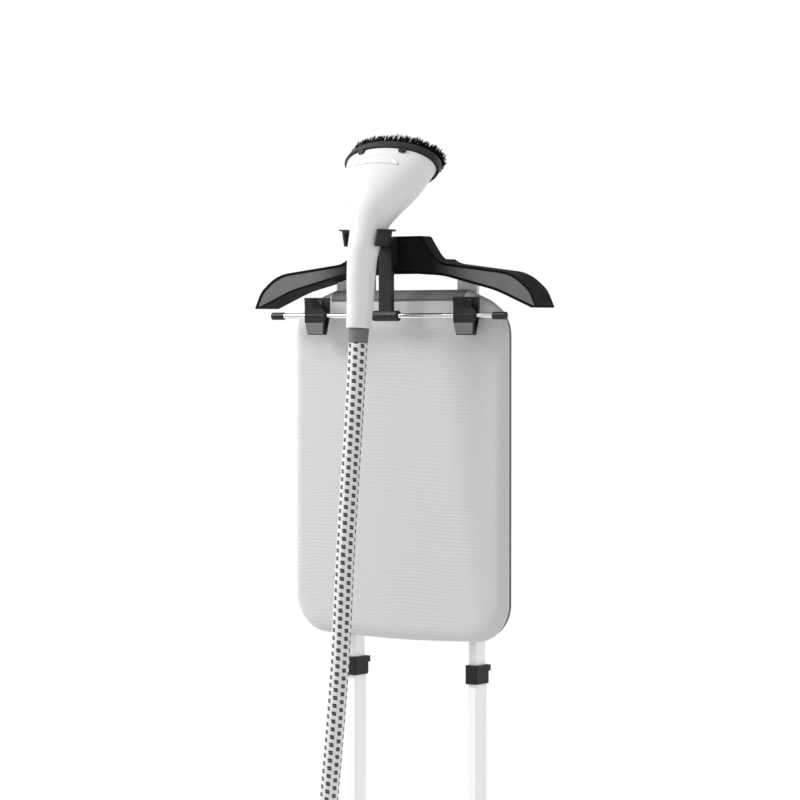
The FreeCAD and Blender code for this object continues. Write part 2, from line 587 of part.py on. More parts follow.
def build_bar():
    """Arm and sleeve under the hanger, the bar through it and a cap on each end."""
    sleeve = cylinder("sleeve", "sleeve_radius", "sleeve_length", ("-sleeve_length / 2", "bar_y", "bar_z"),
                      "x")
    arm = block("arm_strip", ("arm_wide", "arm_thick", "fork_low - bar_z"),
                ("-arm_wide / 2", "bar_y - arm_thick / 2", "bar_z"))
    foot = block("arm_foot_block", ("arm_wide", "hanger_front - bar_y", "arm_foot"),
                 ("-arm_wide / 2", "bar_y", "fork_low - arm_foot"))
    bore = cylinder("sleeve_bore", "bar_radius", "sleeve_length", ("-sleeve_length / 2", "bar_y", "bar_z"),
                    "x")
    node("bar_arm", cut("bar_arm_body", fuse("bar_arm_solid", sleeve, arm, foot), bore))
    node("trouser_bar",
         cylinder("bar", "bar_radius", "bar_length", ("-bar_length / 2", "bar_y", "bar_z"), "x"))
    caps = []
    for side, start in (("left", "-bar_length / 2 + cap_cover - cap_length"),
                        ("right", "bar_length / 2 - cap_cover")):
        cover = cylinder(f"cap_{side}_outer", "cap_radius", "cap_length", (start, "bar_y", "bar_z"), "x")
        bore = cylinder(f"cap_{side}_bore", "bar_radius", "bar_length",
                        ("-bar_length / 2", "bar_y", "bar_z"), "x")
        caps.append(cut(f"cap_{side}", cover, bore))
    node("bar_caps", group("bar_caps_group", caps))


# The two jaws of a clip, (forward of the bar's axis is negative, height above it, corner radius).
FRONT_JAW = [(-6.9, 22, 0.6), (-4.6, 22, 0.6), (-3.4, 8, 0), (-3.4, -6, 2), (-0.3, -20, 0), (-0.3, -22.5, 0.6),
             (-3.8, -22.5, 0.8), (-6.1, -6, 2), (-5.9, 8, 2)]
BACK_JAW = [(4.4, 22, 0.6), (6.6, 22, 0.6), (6.4, 0, 4), (3.4, -22.5, 0.8), (0.2, -22.5, 0.6), (0.2, -20, 0),
            (3.4, -6, 2), (3.4, 8, 0)]


def build_clip(side):
    """Trouser clip: two jaws hooked round the bar and a leaf spring between their thumb plates."""
    x = f"clip_{side}_x"
    for word, corners, ring_y in (("front", FRONT_JAW, "bar_y - clip_ring"),
                                  ("back", BACK_JAW, "bar_y + ring_keep")):
        name = f"clip_{word}_{side}"
        plate = prism(f"{name}_plate", "YZ_Plane", corners, "clip_wide", (x, "bar_y", "bar_z"),
                      symmetric=True)
        ring = cylinder(f"{name}_ring", "clip_ring", "clip_wide",
                        (f"{x} - clip_wide / 2", "bar_y", "bar_z"), "x")
        keep = block(f"{name}_keep", ("clip_wide", "clip_ring - ring_keep", "2 * clip_ring"),
                     (f"{x} - clip_wide / 2", ring_y, "bar_z - clip_ring"))
        bore = cylinder(f"{name}_bore", "bar_radius + 2 * running_gap", "2 * clip_wide",
                        (f"{x} - clip_wide", "bar_y", "bar_z"), "x")
        hoop = common(f"{name}_hoop", ring, keep)
        node(name, cut(f"{name}_body", fuse(f"{name}_solid", plate, hoop), bore))
    leaf = block(f"clip_leaf_{side}", ("clip_wide / 3", "leaf_thick", "leaf_tall"),
                 (f"{x} - clip_wide / 6", "bar_y + leaf_y", "bar_z + leaf_up"))
    node(f"clip_spring_{side}", leaf)


# ---- fork ----

def wedge(name, grow, front):
    """An upright prism whose sides lean out from the fork's lower half gap to its upper one."""
    low, high = size("fork_low"), size("fork_low") + size("fork_tall")
    low_half, high_half = size("fork_gap_low") + grow, size("fork_gap_high") + grow
    corners = [(-low_half, low, 0), (low_half, low, 0), (high_half, high, 0), (-high_half, high, 0)]
    return prism(name, "XZ_Plane", corners, f"fork_centre_y - ({front})", ("0", "fork_centre_y", "0"))


def build_fork():
    """Forked rest, open to the front, whose walls widen upwards to take the flared handset."""
    centre = ("0", "fork_centre_y", "fork_low")
    bend = cone("fork_bend", "fork_gap_low + fork_wall", "fork_gap_high + fork_wall", "fork_tall", centre)
    outside = fuse("fork_outside", bend, wedge("fork_prongs", size("fork_wall"), "fork_front"))
    hollow = cone("fork_hollow", "fork_gap_low", "fork_gap_high", "fork_tall", centre)
    inside = fuse("fork_inside", hollow, wedge("fork_slot", 0, "fork_front - fork_gap_low"))
    reach = "fork_gap_high + fork_wall + flange_out"
    flange_low = "fork_low + fork_tall - flange_thick"
    flange = fuse("fork_flange",
                  cylinder("flange_bend", reach, "flange_thick", ("0", "fork_centre_y", flange_low)),
                  block("flange_prongs", (f"2 * ({reach})", "fork_centre_y - fork_front", "flange_thick"),
                        (f"-({reach})", "fork_front", flange_low)))
    root = block("fork_root", ("arm_wide", "hanger_front - fork_centre_y", "root_tall"),
                 ("-arm_wide / 2", "fork_centre_y", "fork_low"))
    mouth = block("fork_mouth", (f"2 * ({reach})", "2 * fork_gap_high", "2 * fork_tall"),
                  (f"-({reach})", "fork_front - 2 * fork_gap_high", "fork_low - fork_tall / 2"))
    node("fork", cut("fork_body", fuse("fork_solid", outside, flange, root), inside, mouth))


# ---- handset ----

# Cross-sections up the handset: depth of the centre, height, half width, half depth, lean back.
SECTIONS = [(-12.4, 1513, 16.3, 16.3, 6), (-8.7, 1555, 18, 18, 9), (2, 1586, 22.3, 20.5, 18),
            (7.5, 1602, 29, 23.5, 27), (17, 1620, 42.5, 27, 36), (30, 1639, 55, 29.5, 44)]


def section(name, place, half_wide, half_deep, lean):
    """An ellipse across the handset, wide in X, leaning back from level."""
    item = doc.addObject("Part::Ellipse", name)
    bind(item, {"MajorRadius": half_wide, "MinorRadius": half_deep})
    return put(item, place, Rotation(Vector(1, 0, 0), -float(lean)))


def smooth_rows(rows, steps):
    """The rows with steps between them, on a smooth curve through every row."""
    smooth = []
    last = len(rows) - 1
    for index in range(last):
        around = [rows[max(index - 1, 0)], rows[index], rows[index + 1], rows[min(index + 2, last)]]
        for step in range(steps):
            s = step / steps
            weights = (2 * s ** 3 - 3 * s ** 2 + 1, s ** 3 - 2 * s ** 2 + s, 3 * s ** 2 - 2 * s ** 3,
                       s ** 3 - s ** 2)
            smooth.append([weights[0] * here + weights[1] * (after - before) / 2
                           + weights[2] * after + weights[3] * (beyond - here) / 2
                           for before, here, after, beyond in zip(*around)])
    return smooth + [list(rows[-1])]


def ring_wire(row, inset):
    """A closed smooth curve round the handset at one cross-section."""
    y, z, half_wide, half_deep, lean = row
    turned = Rotation(Vector(1, 0, 0), -lean)
    around = 24
    points = []
    for number in range(around):
        angle = 2 * math.pi * number / around - math.pi / 2
        flat = Vector((half_wide - inset) * math.cos(angle), (half_deep - inset) * math.sin(angle), 0)
        points.append(turned.multVec(flat) + Vector(0, y, z))
    curve = Part.BSplineCurve()
    curve.interpolate(Points=points, PeriodicFlag=True)
    return Part.Wire(curve.toShape())


def flare(name, inset):
    """The handset's outer form, or the same form inset by its wall."""
    grip = (size("grip_y"), size("grip_z"), size("grip_radius"), size("grip_radius"), size("grip_lean"))
    mouth = (size("mouth_y"), size("mouth_z"), size("mouth_half"), size("mouth_deep"), size("mouth_lean"))
    rings = [ring_wire(row, inset) for row in smooth_rows([grip] + SECTIONS + [mouth], 2)]
    item = doc.addObject("Part::Feature", name)
    item.Shape = Part.makeLoft(rings, True, False)
    item.Placement = Placement()
    return item


def mouth_disc(name, grow, low, thick):
    """An elliptical disc parallel to the steam plate, a given way outside the mouth."""
    lean = math.radians(size("mouth_lean"))
    outward = Vector(0, math.sin(lean), math.cos(lean))
    rim = section(f"{name}_rim",
                  ("0", f"mouth_y + ({low}) * {outward.y:.6f}", f"mouth_z + ({low}) * {outward.z:.6f}"),
                  f"mouth_half + {grow}", f"mouth_deep + {grow}", size("mouth_lean"))
    item = doc.addObject("Part::Extrusion", name)
    item.Base = rim
    item.DirMode = "Custom"
    item.Dir = outward
    item.Solid = True
    bind(item, {"LengthFwd": thick})
    return item


def seam_corners():
    """The side view of what lies behind the seam between the two shells."""
    corners = [(size("grip_y") - 4, size("grip_z") - 30, 0), (size("grip_y"), size("grip_z"), 0)]
    corners += [(y, z, 0) for y, z, wide, deep, lean in SECTIONS]
    beyond = size("mouth_y") + 2 * size("mouth_half")
    return corners + [(size("mouth_y") + 1, size("mouth_z") + 1, 0), (beyond, size("mouth_z") + 90, 0),
                      (beyond, size("grip_z") - 30, 0)]


def along_handle(name, low_radius, high_radius, long):
    """A round bar on the handle's leaning axis, from the foot of the cuff upwards."""
    lean = Rotation(Vector(1, 0, 0), -size("grip_lean"))
    down = lean.multVec(Vector(0, 0, -1))
    start = ("0", f"grip_y + cuff_tall * {down.y:.6f}", f"grip_z + cuff_tall * {down.z:.6f}")
    return cone(name, low_radius, high_radius, long, start, lean)


def build_handset():
    """Two-shell handset with steam plate, brush, trigger, inner tube and cuff."""
    shell = cut("handset_shell", flare("handset_outer", 0), flare("handset_inner", size("shell_wall")))
    behind = [prism(f"handset_rear_{word}", "YZ_Plane", seam_corners(), "4 * mouth_half", ("0", "0", "0"),
                    True)
              for word in ("space", "mask")]
    slot = block("trigger_slot", ("trigger_wide + 3 * gap", "4 * trigger_wide", "trigger_tall + 3 * gap"),
                 ("-(trigger_wide + 3 * gap) / 2", "-2", "trigger_low - 1.5 * gap"))
    node("handset_front_shell", cut("handset_front_body", shell, behind[0]))
    node("handset_back_shell", cut("handset_back_body", common("handset_back_part", shell, behind[1]), slot))
    trigger = rounded_block("trigger_block", "trigger_wide", "trigger_deep", "wall", "trigger_tall",
                            ("0", "trigger_deep / 2 - 1", "trigger_low"))
    node("steam_trigger", trigger)
    way = along_handle("cuff_way", "steam_tube", "steam_tube", "4 * cuff_tall")
    node("handle_cuff",
         cut("handle_cuff_body", along_handle("cuff_solid", "cuff_low", "cuff_high", "cuff_tall"), way))
    core = along_handle("handset_pipe_bore", "steam_tube - wall / 2", "steam_tube - wall / 2",
                        "7 * cuff_tall")
    pipe = along_handle("handset_pipe", "steam_tube", "steam_tube", "7 * cuff_tall")
    node("handset_tube", cut("handset_tube_body", pipe, core))
    node("steam_plate", mouth_disc("plate_disc", "-(2 * shell_wall + plate_gap)", "-plate_thick_steam",
                                   "plate_thick_steam"))
    node("brush_frame", cut("brush_ring", mouth_disc("frame_disc", "frame_out", "gap", "frame_tall"),
                            mouth_disc("frame_window", "-frame_in", "gap - 1", "frame_tall + 2")))
    root = "gap + frame_tall + bristle_gap"
    node("brush_bristles", cut("bristle_ring",
                               mouth_disc("bristle_disc", "bristle_out", root, "bristle_tall"),
                               mouth_disc("bristle_window", "-bristle_in", f"{root} - 1",
                                          "bristle_tall + 2")))


# ---- hose ----

# The hose's route from the connector on the base up to the cuff.
HOSE_ROUTE = [(0, 24, 225), (0, 24, 298), (-16, 10, 376), (-40, -14, 495), (-47, -34, 640), (-35, -46, 800),
              (-15, -49, 955), (-2, -48, 1090), (0, -43, 1200), (0, -33, 1295), (0, -23, 1384.7), (0, -17,
                                                                                                   1453.7)]


def route_wire(points, diameter):
    """Straight runs joined by the largest tangent arcs that the runs allow."""
    points = [Vector(*point) for point in points]
    edges, reached, radii = [], points[0], []
    for before, here, after in zip(points, points[1:], points[2:]):
        arriving, leaving = (here - before).normalize(), (after - here).normalize()
        shorter = min(before.distanceToPoint(here), here.distanceToPoint(after))
        turn = arriving.getAngle(leaving)
        radius = 0.45 * shorter / math.tan(turn / 2)
        radii.append(radius)
        start, end = here - arriving * 0.45 * shorter, here + leaving * 0.45 * shorter
        inward = (leaving - arriving).normalize()
        middle = here + inward * (radius / math.cos(turn / 2) - radius)
        edges += [Part.LineSegment(reached, start).toShape(), Part.Arc(start, middle, end).toShape()]
        reached = end
    edges.append(Part.LineSegment(reached, points[-1]).toShape())
    print("hose arc radii", [round(radius) for radius in radii], "least allowed", 5 * diameter)
    return Part.Wire(edges)


def build_hose():
    """The steam hose as one plain round tube solid along its route."""
    radius = size("hose_radius")
    path = route_wire(HOSE_ROUTE, 2 * radius)
    start = Vector(*HOSE_ROUTE[0])
    heading = (Vector(*HOSE_ROUTE[1]) - start).normalize()
    profile = Part.Wire(Part.makeCircle(radius, start, heading))
    hose = doc.addObject("Part::Feature", "steam_hose_sweep")
    hose.Shape = path.makePipeShell([profile], True, True)
    hose.Placement = Placement()
    print("hose length", round(path.Length), "volume over section times length",
          round(hose.Shape.Volume / (math.pi * radius ** 2 * path.Length), 4))
    node("steam_hose", hose)


build_tray()
build_housing()
build_base_fittings()
build_works()
build_tank()
build_controls()
build_poles()
build_board()
build_hanger()
build_bar()
for clip_side in ("left", "right"):
    build_clip(clip_side)
build_fork()
build_handset()
build_hose()

doc.recompute()
for item in doc.Objects:
    if "Invalid" in item.State or "Error" in item.State:
        raise RuntimeError(f"{item.Name} failed: {item.State}")
for name, item in nodes.items():
    if item.Shape.isNull() or not item.Shape.isValid():
        raise RuntimeError(f"{name} has no valid shape")

os.makedirs("parts", exist_ok=True)
for name, item in nodes.items():
    item.Shape.exportStep(f"parts/{name}.step")
print(len(nodes), "sub-parts written")
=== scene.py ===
import json
import math
import random

import bmesh
import bpy
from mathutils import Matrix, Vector

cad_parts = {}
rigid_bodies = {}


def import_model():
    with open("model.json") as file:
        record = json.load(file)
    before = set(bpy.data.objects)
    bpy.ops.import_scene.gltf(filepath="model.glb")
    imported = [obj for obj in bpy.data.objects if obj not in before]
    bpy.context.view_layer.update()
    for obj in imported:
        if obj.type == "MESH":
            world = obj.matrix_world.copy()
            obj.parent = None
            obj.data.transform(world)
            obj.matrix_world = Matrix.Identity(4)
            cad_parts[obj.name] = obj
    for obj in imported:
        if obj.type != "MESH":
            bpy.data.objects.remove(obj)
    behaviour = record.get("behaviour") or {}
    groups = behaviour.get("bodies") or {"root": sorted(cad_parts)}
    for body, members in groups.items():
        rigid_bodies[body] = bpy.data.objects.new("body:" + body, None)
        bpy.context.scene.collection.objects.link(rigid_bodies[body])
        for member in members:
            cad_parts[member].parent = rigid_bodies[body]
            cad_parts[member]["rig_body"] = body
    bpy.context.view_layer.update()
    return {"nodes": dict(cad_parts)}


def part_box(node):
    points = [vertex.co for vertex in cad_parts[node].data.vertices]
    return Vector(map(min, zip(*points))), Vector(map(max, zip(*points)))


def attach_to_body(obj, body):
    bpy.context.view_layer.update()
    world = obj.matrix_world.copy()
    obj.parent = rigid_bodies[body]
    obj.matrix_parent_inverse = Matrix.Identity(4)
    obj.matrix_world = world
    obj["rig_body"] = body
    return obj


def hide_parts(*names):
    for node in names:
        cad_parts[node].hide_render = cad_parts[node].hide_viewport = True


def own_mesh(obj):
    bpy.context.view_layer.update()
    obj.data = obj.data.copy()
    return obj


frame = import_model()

# Looks of a stand-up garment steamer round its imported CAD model. Metres, +Z up, -Y is the front.

NODES = frame["nodes"]


# ---- camera, light and floor ----

CAMERA_TURN = math.radians(36)
CAMERA_REACH = 3.796
EYE_HEIGHT = 1.469
LENS = 143.5
LOOK_AT = Vector((-0.002, 0.069, 1.386))
TURN_CENTRE = Vector((0, 0.070, EYE_HEIGHT))

# Name, place, target, side in metres and power in watts of each soft box.
SOFT_BOXES = [("key", (-2.4, -1.2, 3.2), (0, 0.05, 1.35), 1.2, 90),
              ("rim", (1.2, 2.6, 2.6), (0, 0.05, 1.3), 1.6, 22)]
AMBIENT = 0.74
FLOOR_RADIUS = 2.2


def make_camera():
    """Long lens at eye height, round to the right of the front."""
    data = bpy.data.cameras.new("camera")
    data.lens = LENS
    camera = bpy.data.objects.new("camera", data)
    bpy.context.scene.collection.objects.link(camera)
    back = Vector((math.sin(CAMERA_TURN), -math.cos(CAMERA_TURN), 0))
    camera.location = TURN_CENTRE + back * CAMERA_REACH
    camera.rotation_euler = (LOOK_AT - camera.location).to_track_quat("-Z", "Y").to_euler()
    bpy.context.scene.camera = camera


def area_light(name, place, target, side, power):
    """A large square soft box aimed at a point."""
    data = bpy.data.lights.new(name, "AREA")
    data.size = side
    data.energy = power
    light = bpy.data.objects.new(name, data)
    light.location = place
    light.rotation_euler = (Vector(target) - Vector(place)).to_track_quat("-Z", "Y").to_euler()
    bpy.context.scene.collection.objects.link(light)


def make_studio():
    """White surroundings, a key light from the upper left, a weak rim light, and a pale round floor."""
    scene = bpy.context.scene
    scene.view_settings.view_transform = "Standard"
    world = bpy.data.worlds.new("studio")
    scene.world = world
    world.use_nodes = True
    tree = world.node_tree
    tree.nodes.clear()
    seen = tree.nodes.new("ShaderNodeBackground")
    seen.inputs["Color"].default_value = (1, 1, 1, 1)
    lit = tree.nodes.new("ShaderNodeBackground")
    lit.inputs["Color"].default_value = (1, 1, 1, 1)
    lit.inputs["Strength"].default_value = AMBIENT
    path = tree.nodes.new("ShaderNodeLightPath")
    mix = tree.nodes.new("ShaderNodeMixShader")
    out = tree.nodes.new("ShaderNodeOutputWorld")
    tree.links.new(path.outputs["Is Camera Ray"], mix.inputs[0])
    tree.links.new(lit.outputs[0], mix.inputs[1])
    tree.links.new(seen.outputs[0], mix.inputs[2])
    tree.links.new(mix.outputs[0], out.inputs[0])
    for box in SOFT_BOXES:
        area_light(*box)
    bpy.ops.mesh.primitive_circle_add(vertices=96, radius=FLOOR_RADIUS, fill_type="NGON")
    floor = bpy.context.object
    floor.name = "floor"
    floor.data.materials.append(moulded("floor_paper", (0.86, 0.86, 0.86), 0.8, spread=0.01, grain=300))


# ---- materials ----

# Lumps in a metre of the faint clouding and of the uneven gloss.
CLOUD_SCALE = 28.0
GLOSS_SCALE = 75.0


class Finish:
    """A material's nodes, with short calls for the ones that the finishes use."""

    def __init__(self, name):
        self.material = bpy.data.materials.new(name)
        self.material.use_nodes = True
        self.tree = self.material.node_tree
        self.shader = self.tree.nodes["Principled BSDF"]
        self.place = self.add("TexCoord").outputs["Object"]

    def add(self, kind, **settings):
        """A shader node with its own settings."""
        made = self.tree.nodes.new("ShaderNode" + kind)
        for word, value in settings.items():
            setattr(made, word, value)
        return made

    def feed(self, socket, value):
        """Link another node's output, or set a plain value."""
        if isinstance(value, bpy.types.NodeSocket):
            self.tree.links.new(value, socket)
        else:
            socket.default_value = value

    def calc(self, operation, *values, clamp=False):
        """One arithmetic step on sockets or numbers."""
        made = self.add("Math", operation=operation, use_clamp=clamp)
        for socket, value in zip(made.inputs, values):
            self.feed(socket, value)
        return made.outputs[0]

    def noise(self, scale, detail=3.0, place=None):
        """Smooth noise, 0 to 1, of a given number of lumps in a metre."""
        made = self.add("TexNoise")
        self.feed(made.inputs["Vector"], place or self.place)
        made.inputs["Scale"].default_value = scale
        made.inputs["Detail"].default_value = detail
        return made.outputs[0]

    def ranged(self, value, low, high, out_low=0.0, out_high=1.0):
        """A value stretched from one range to another, and held inside it."""
        made = self.add("MapRange", interpolation_type="SMOOTHSTEP")
        for number, item in enumerate((value, low, high, out_low, out_high)):
            self.feed(made.inputs[number], item)
        return made.outputs[0]

    def blend(self, share, first, second):
        """A colour between two others."""
        made = self.add("Mix", data_type="RGBA")
        self.feed(made.inputs[0], share)
        for socket, colour in zip((made.inputs[6], made.inputs[7]), (first, second)):
            self.feed(socket, (*colour, 1) if isinstance(colour, tuple) else colour)
        return made.outputs[2]

    def split(self, vector=None):
        """The X, Y and Z of a place."""
        made = self.add("SeparateXYZ")
        self.feed(made.inputs[0], vector or self.place)
        return made.outputs

    def bump(self, height, depth, strength=1.0):
        """Turn a height into relief of a real depth in metres."""
        made = self.add("Bump")
        made.inputs["Strength"].default_value = strength
        made.inputs["Distance"].default_value = depth
        self.feed(made.inputs["Height"], height)
        self.feed(self.shader.inputs["Normal"], made.outputs[0])

    def set(self, **values):
        """Even values, straight on the shader."""
        for word, value in values.items():
            self.shader.inputs[word.replace("_", " ")].default_value = value
        return self


def moulded(name, colour, rough, spread=0.05, grain=2600.0, depth=0.00004, **values):
    """Plastic, rubber or metal with mould grain, faint clouding and uneven gloss."""
    finish = Finish(name)
    cloud = finish.ranged(finish.noise(CLOUD_SCALE, 2.0), 0.3, 0.7)
    darker = tuple(part * (1 - spread) for part in colour)
    lighter = tuple(min(1.0, part * (1 + spread)) for part in colour)
    finish.feed(finish.shader.inputs["Base Color"], finish.blend(cloud, darker, lighter))
    smoothest, roughest = max(0.02, rough - 0.05), min(1.0, rough + 0.06)
    gloss = finish.ranged(finish.noise(GLOSS_SCALE, 2.0), 0.3, 0.7, smoothest, roughest)
    finish.feed(finish.shader.inputs["Roughness"], gloss)
    finish.bump(finish.noise(grain, 1.0), depth)
    finish.set(**values)
    return finish.material


def brushed_metal(name, colour, rough):
    """Drawn metal with fine lines along X."""
    finish = Finish(name)
    x, y, z = finish.split()
    lines = finish.add("CombineXYZ")
    finish.feed(lines.inputs[0], finish.calc("MULTIPLY", x, 0.02))
    finish.feed(lines.inputs[1], y)
    finish.feed(lines.inputs[2], z)
    streak = finish.noise(4200.0, 1.0, lines.outputs[0])
    darker = tuple(part * 0.9 for part in colour)
    finish.feed(finish.shader.inputs["Base Color"], finish.blend(streak, darker, colour))
    finish.feed(finish.shader.inputs["Roughness"], finish.ranged(streak, 0.2, 0.8, rough * 0.7, rough * 1.5))
    finish.bump(streak, 0.00001, 0.4)
    return finish.set(Metallic=1.0).material


RIB_PITCH = 0.0044
KNIT_PITCH = 0.0011
HOLE_PITCH = 0.0027


def pad_cloth():
    """Pale stretched cloth with fine, gently wavy cross ribs and a small knit."""
    finish = Finish("pad_cloth")
    place = finish.split()
    x, z = place["X"], place["Z"]
    drift = finish.calc("MULTIPLY", finish.noise(7.0, 2.0), 0.022)
    sag = finish.calc("MULTIPLY", finish.calc("MULTIPLY", x, x), 0.35)
    height = finish.calc("ADD", finish.calc("ADD", z, drift), sag)
    rib = finish.calc("SINE", finish.calc("MULTIPLY", height, 2 * math.pi / RIB_PITCH))
    fade = finish.ranged(finish.noise(12.0, 1.0), 0.3, 0.7, 0.2, 1.0)
    rib = finish.calc("MULTIPLY", rib, fade)
    across = finish.calc("SINE", finish.calc("MULTIPLY", x, 2 * math.pi / KNIT_PITCH))
    up = finish.calc("SINE", finish.calc("MULTIPLY", height, 2 * math.pi / KNIT_PITCH))
    knit = finish.calc("MULTIPLY", across, up)
    fleck = finish.noise(900.0, 1.0)
    tone = finish.calc("ADD", finish.calc("MULTIPLY", rib, 0.2), finish.calc("MULTIPLY", knit, 0.12))
    tone = finish.calc("ADD", tone, fleck)
    finish.feed(finish.shader.inputs["Base Color"],
                finish.blend(finish.ranged(tone, 0.0, 1.0), (0.555, 0.555, 0.555), (0.625, 0.625, 0.625)))
    relief = finish.calc("ADD", finish.calc("MULTIPLY", rib, 0.8), finish.calc("MULTIPLY", knit, 0.25))
    finish.bump(relief, 0.00009)
    return finish.set(Roughness=0.86, Sheen_Weight=0.25, Sheen_Roughness=0.5).material


def band_mesh():
    """Darker open mesh of small round holes."""
    finish = Finish("band_mesh")
    place = finish.split()
    x, z = place["X"], place["Z"]
    turn = 2 * math.pi / HOLE_PITCH
    holes = finish.calc("MULTIPLY", finish.calc("SINE", finish.calc("MULTIPLY", x, turn)),
                        finish.calc("SINE", finish.calc("MULTIPLY", z, turn)))
    open_part = finish.ranged(finish.calc("ABSOLUTE", holes), 0.35, 0.75)
    colour = finish.blend(open_part, (0.25, 0.25, 0.255), (0.12, 0.12, 0.125))
    finish.feed(finish.shader.inputs["Base Color"], colour)
    finish.bump(finish.calc("SUBTRACT", 1.0, open_part), 0.0003)
    return finish.set(Roughness=0.9, Sheen_Weight=0.2).material


HOSE_COLUMNS = 8
HOSE_PITCH = 0.0092
HOSE_RADIUS = 0.011
MARK_WIDE = 0.0026
MARK_TALL = 0.0024
MARK_EDGE = 0.0004
MARK_SLANT = 0.2


def woven_cover():
    """White braid with a dark double dash in each cell, every other column half a pitch on."""
    finish = Finish("woven_cover")
    chart = finish.add("UVMap", uv_map="cover").outputs[0]
    place = finish.split(chart)
    column, row = place["X"], place["Y"]
    number = finish.calc("FLOOR", column)
    stagger = finish.calc("MULTIPLY", finish.calc("MODULO", number, 2.0), 0.5)
    width = 2 * math.pi * HOSE_RADIUS / HOSE_COLUMNS
    up = finish.calc("SUBTRACT", finish.calc("FRACT", finish.calc("ADD", row, stagger)), 0.5)
    up = finish.calc("MULTIPLY", up, HOSE_PITCH)
    side = finish.calc("MULTIPLY", finish.calc("SUBTRACT", finish.calc("FRACT", column), 0.5), width)
    slant = finish.calc("SUBTRACT", side, finish.calc("MULTIPLY", up, MARK_SLANT))
    sideways, upwards = finish.calc("ABSOLUTE", slant), finish.calc("ABSOLUTE", up)
    wide = finish.ranged(sideways, MARK_WIDE - MARK_EDGE, MARK_WIDE + MARK_EDGE, 1.0, 0.0)
    tall = finish.ranged(upwards, MARK_TALL - MARK_EDGE, MARK_TALL + MARK_EDGE, 1.0, 0.0)
    notch = finish.ranged(upwards, 0.0, 0.0005, 0.7, 1.0)
    mark = finish.calc("MULTIPLY", finish.calc("MULTIPLY", wide, tall), notch)
    threads = 12.0
    strand = finish.calc("MULTIPLY", finish.calc("ADD", column, row), threads / 2 * math.pi)
    other = finish.calc("MULTIPLY", finish.calc("SUBTRACT", column, row), threads / 2 * math.pi)
    weave = finish.calc("MULTIPLY", finish.calc("SINE", strand), finish.calc("SINE", other))
    white = finish.blend(finish.ranged(weave, -1.0, 1.0), (0.70, 0.70, 0.70), (0.86, 0.86, 0.86))
    finish.feed(finish.shader.inputs["Base Color"], finish.blend(mark, white, (0.022, 0.022, 0.024)))
    finish.bump(weave, 0.00015)
    return finish.set(Roughness=0.75, Sheen_Weight=0.2).material


def hanger_plastic_with_painted_shade(name, middle, arm):
    """Black plastic whose colour goes from the middle block's to the arms'; that darkening towards the middle
    block is painted shade.
    """
    finish = Finish(name)
    from_middle = finish.calc("ABSOLUTE", finish.split()["X"])
    # painted shade: the colour darkens from the arms' towards the middle block's by distance from the middle
    share = finish.ranged(from_middle, 0.055, 0.125)
    base = finish.blend(share, middle, arm)
    cloud = finish.blend(finish.ranged(finish.noise(40.0, 2.0), 0.3, 0.7), (0.9, 0.9, 0.9), (1.0, 1.0, 1.0))
    tint = finish.add("Mix", data_type="RGBA", blend_type="MULTIPLY")
    tint.inputs[0].default_value = 1.0
    finish.feed(tint.inputs[6], base)
    finish.feed(tint.inputs[7], cloud)
    finish.feed(finish.shader.inputs["Base Color"], tint.outputs[2])
    gloss = finish.ranged(finish.noise(90.0, 2.0), 0.3, 0.7, 0.6, 0.72)
    finish.feed(finish.shader.inputs["Roughness"], gloss)
    finish.bump(finish.noise(2200.0, 1.0), 0.00006)
    return finish.set(Specular_IOR_Level=0.06).material


def clear_plastic():
    """Clear smoky plastic of the tank."""
    finish = Finish("clear_tank")
    gloss = finish.ranged(finish.noise(60.0, 2.0), 0.3, 0.7, 0.04, 0.1)
    finish.feed(finish.shader.inputs["Roughness"], gloss)
    finish.bump(finish.noise(45.0, 2.0), 0.0002, 0.5)
    finish.set(Base_Color=(0.72, 0.80, 0.86, 1), Transmission_Weight=0.9, IOR=1.35, Alpha=0.55)
    return finish.material


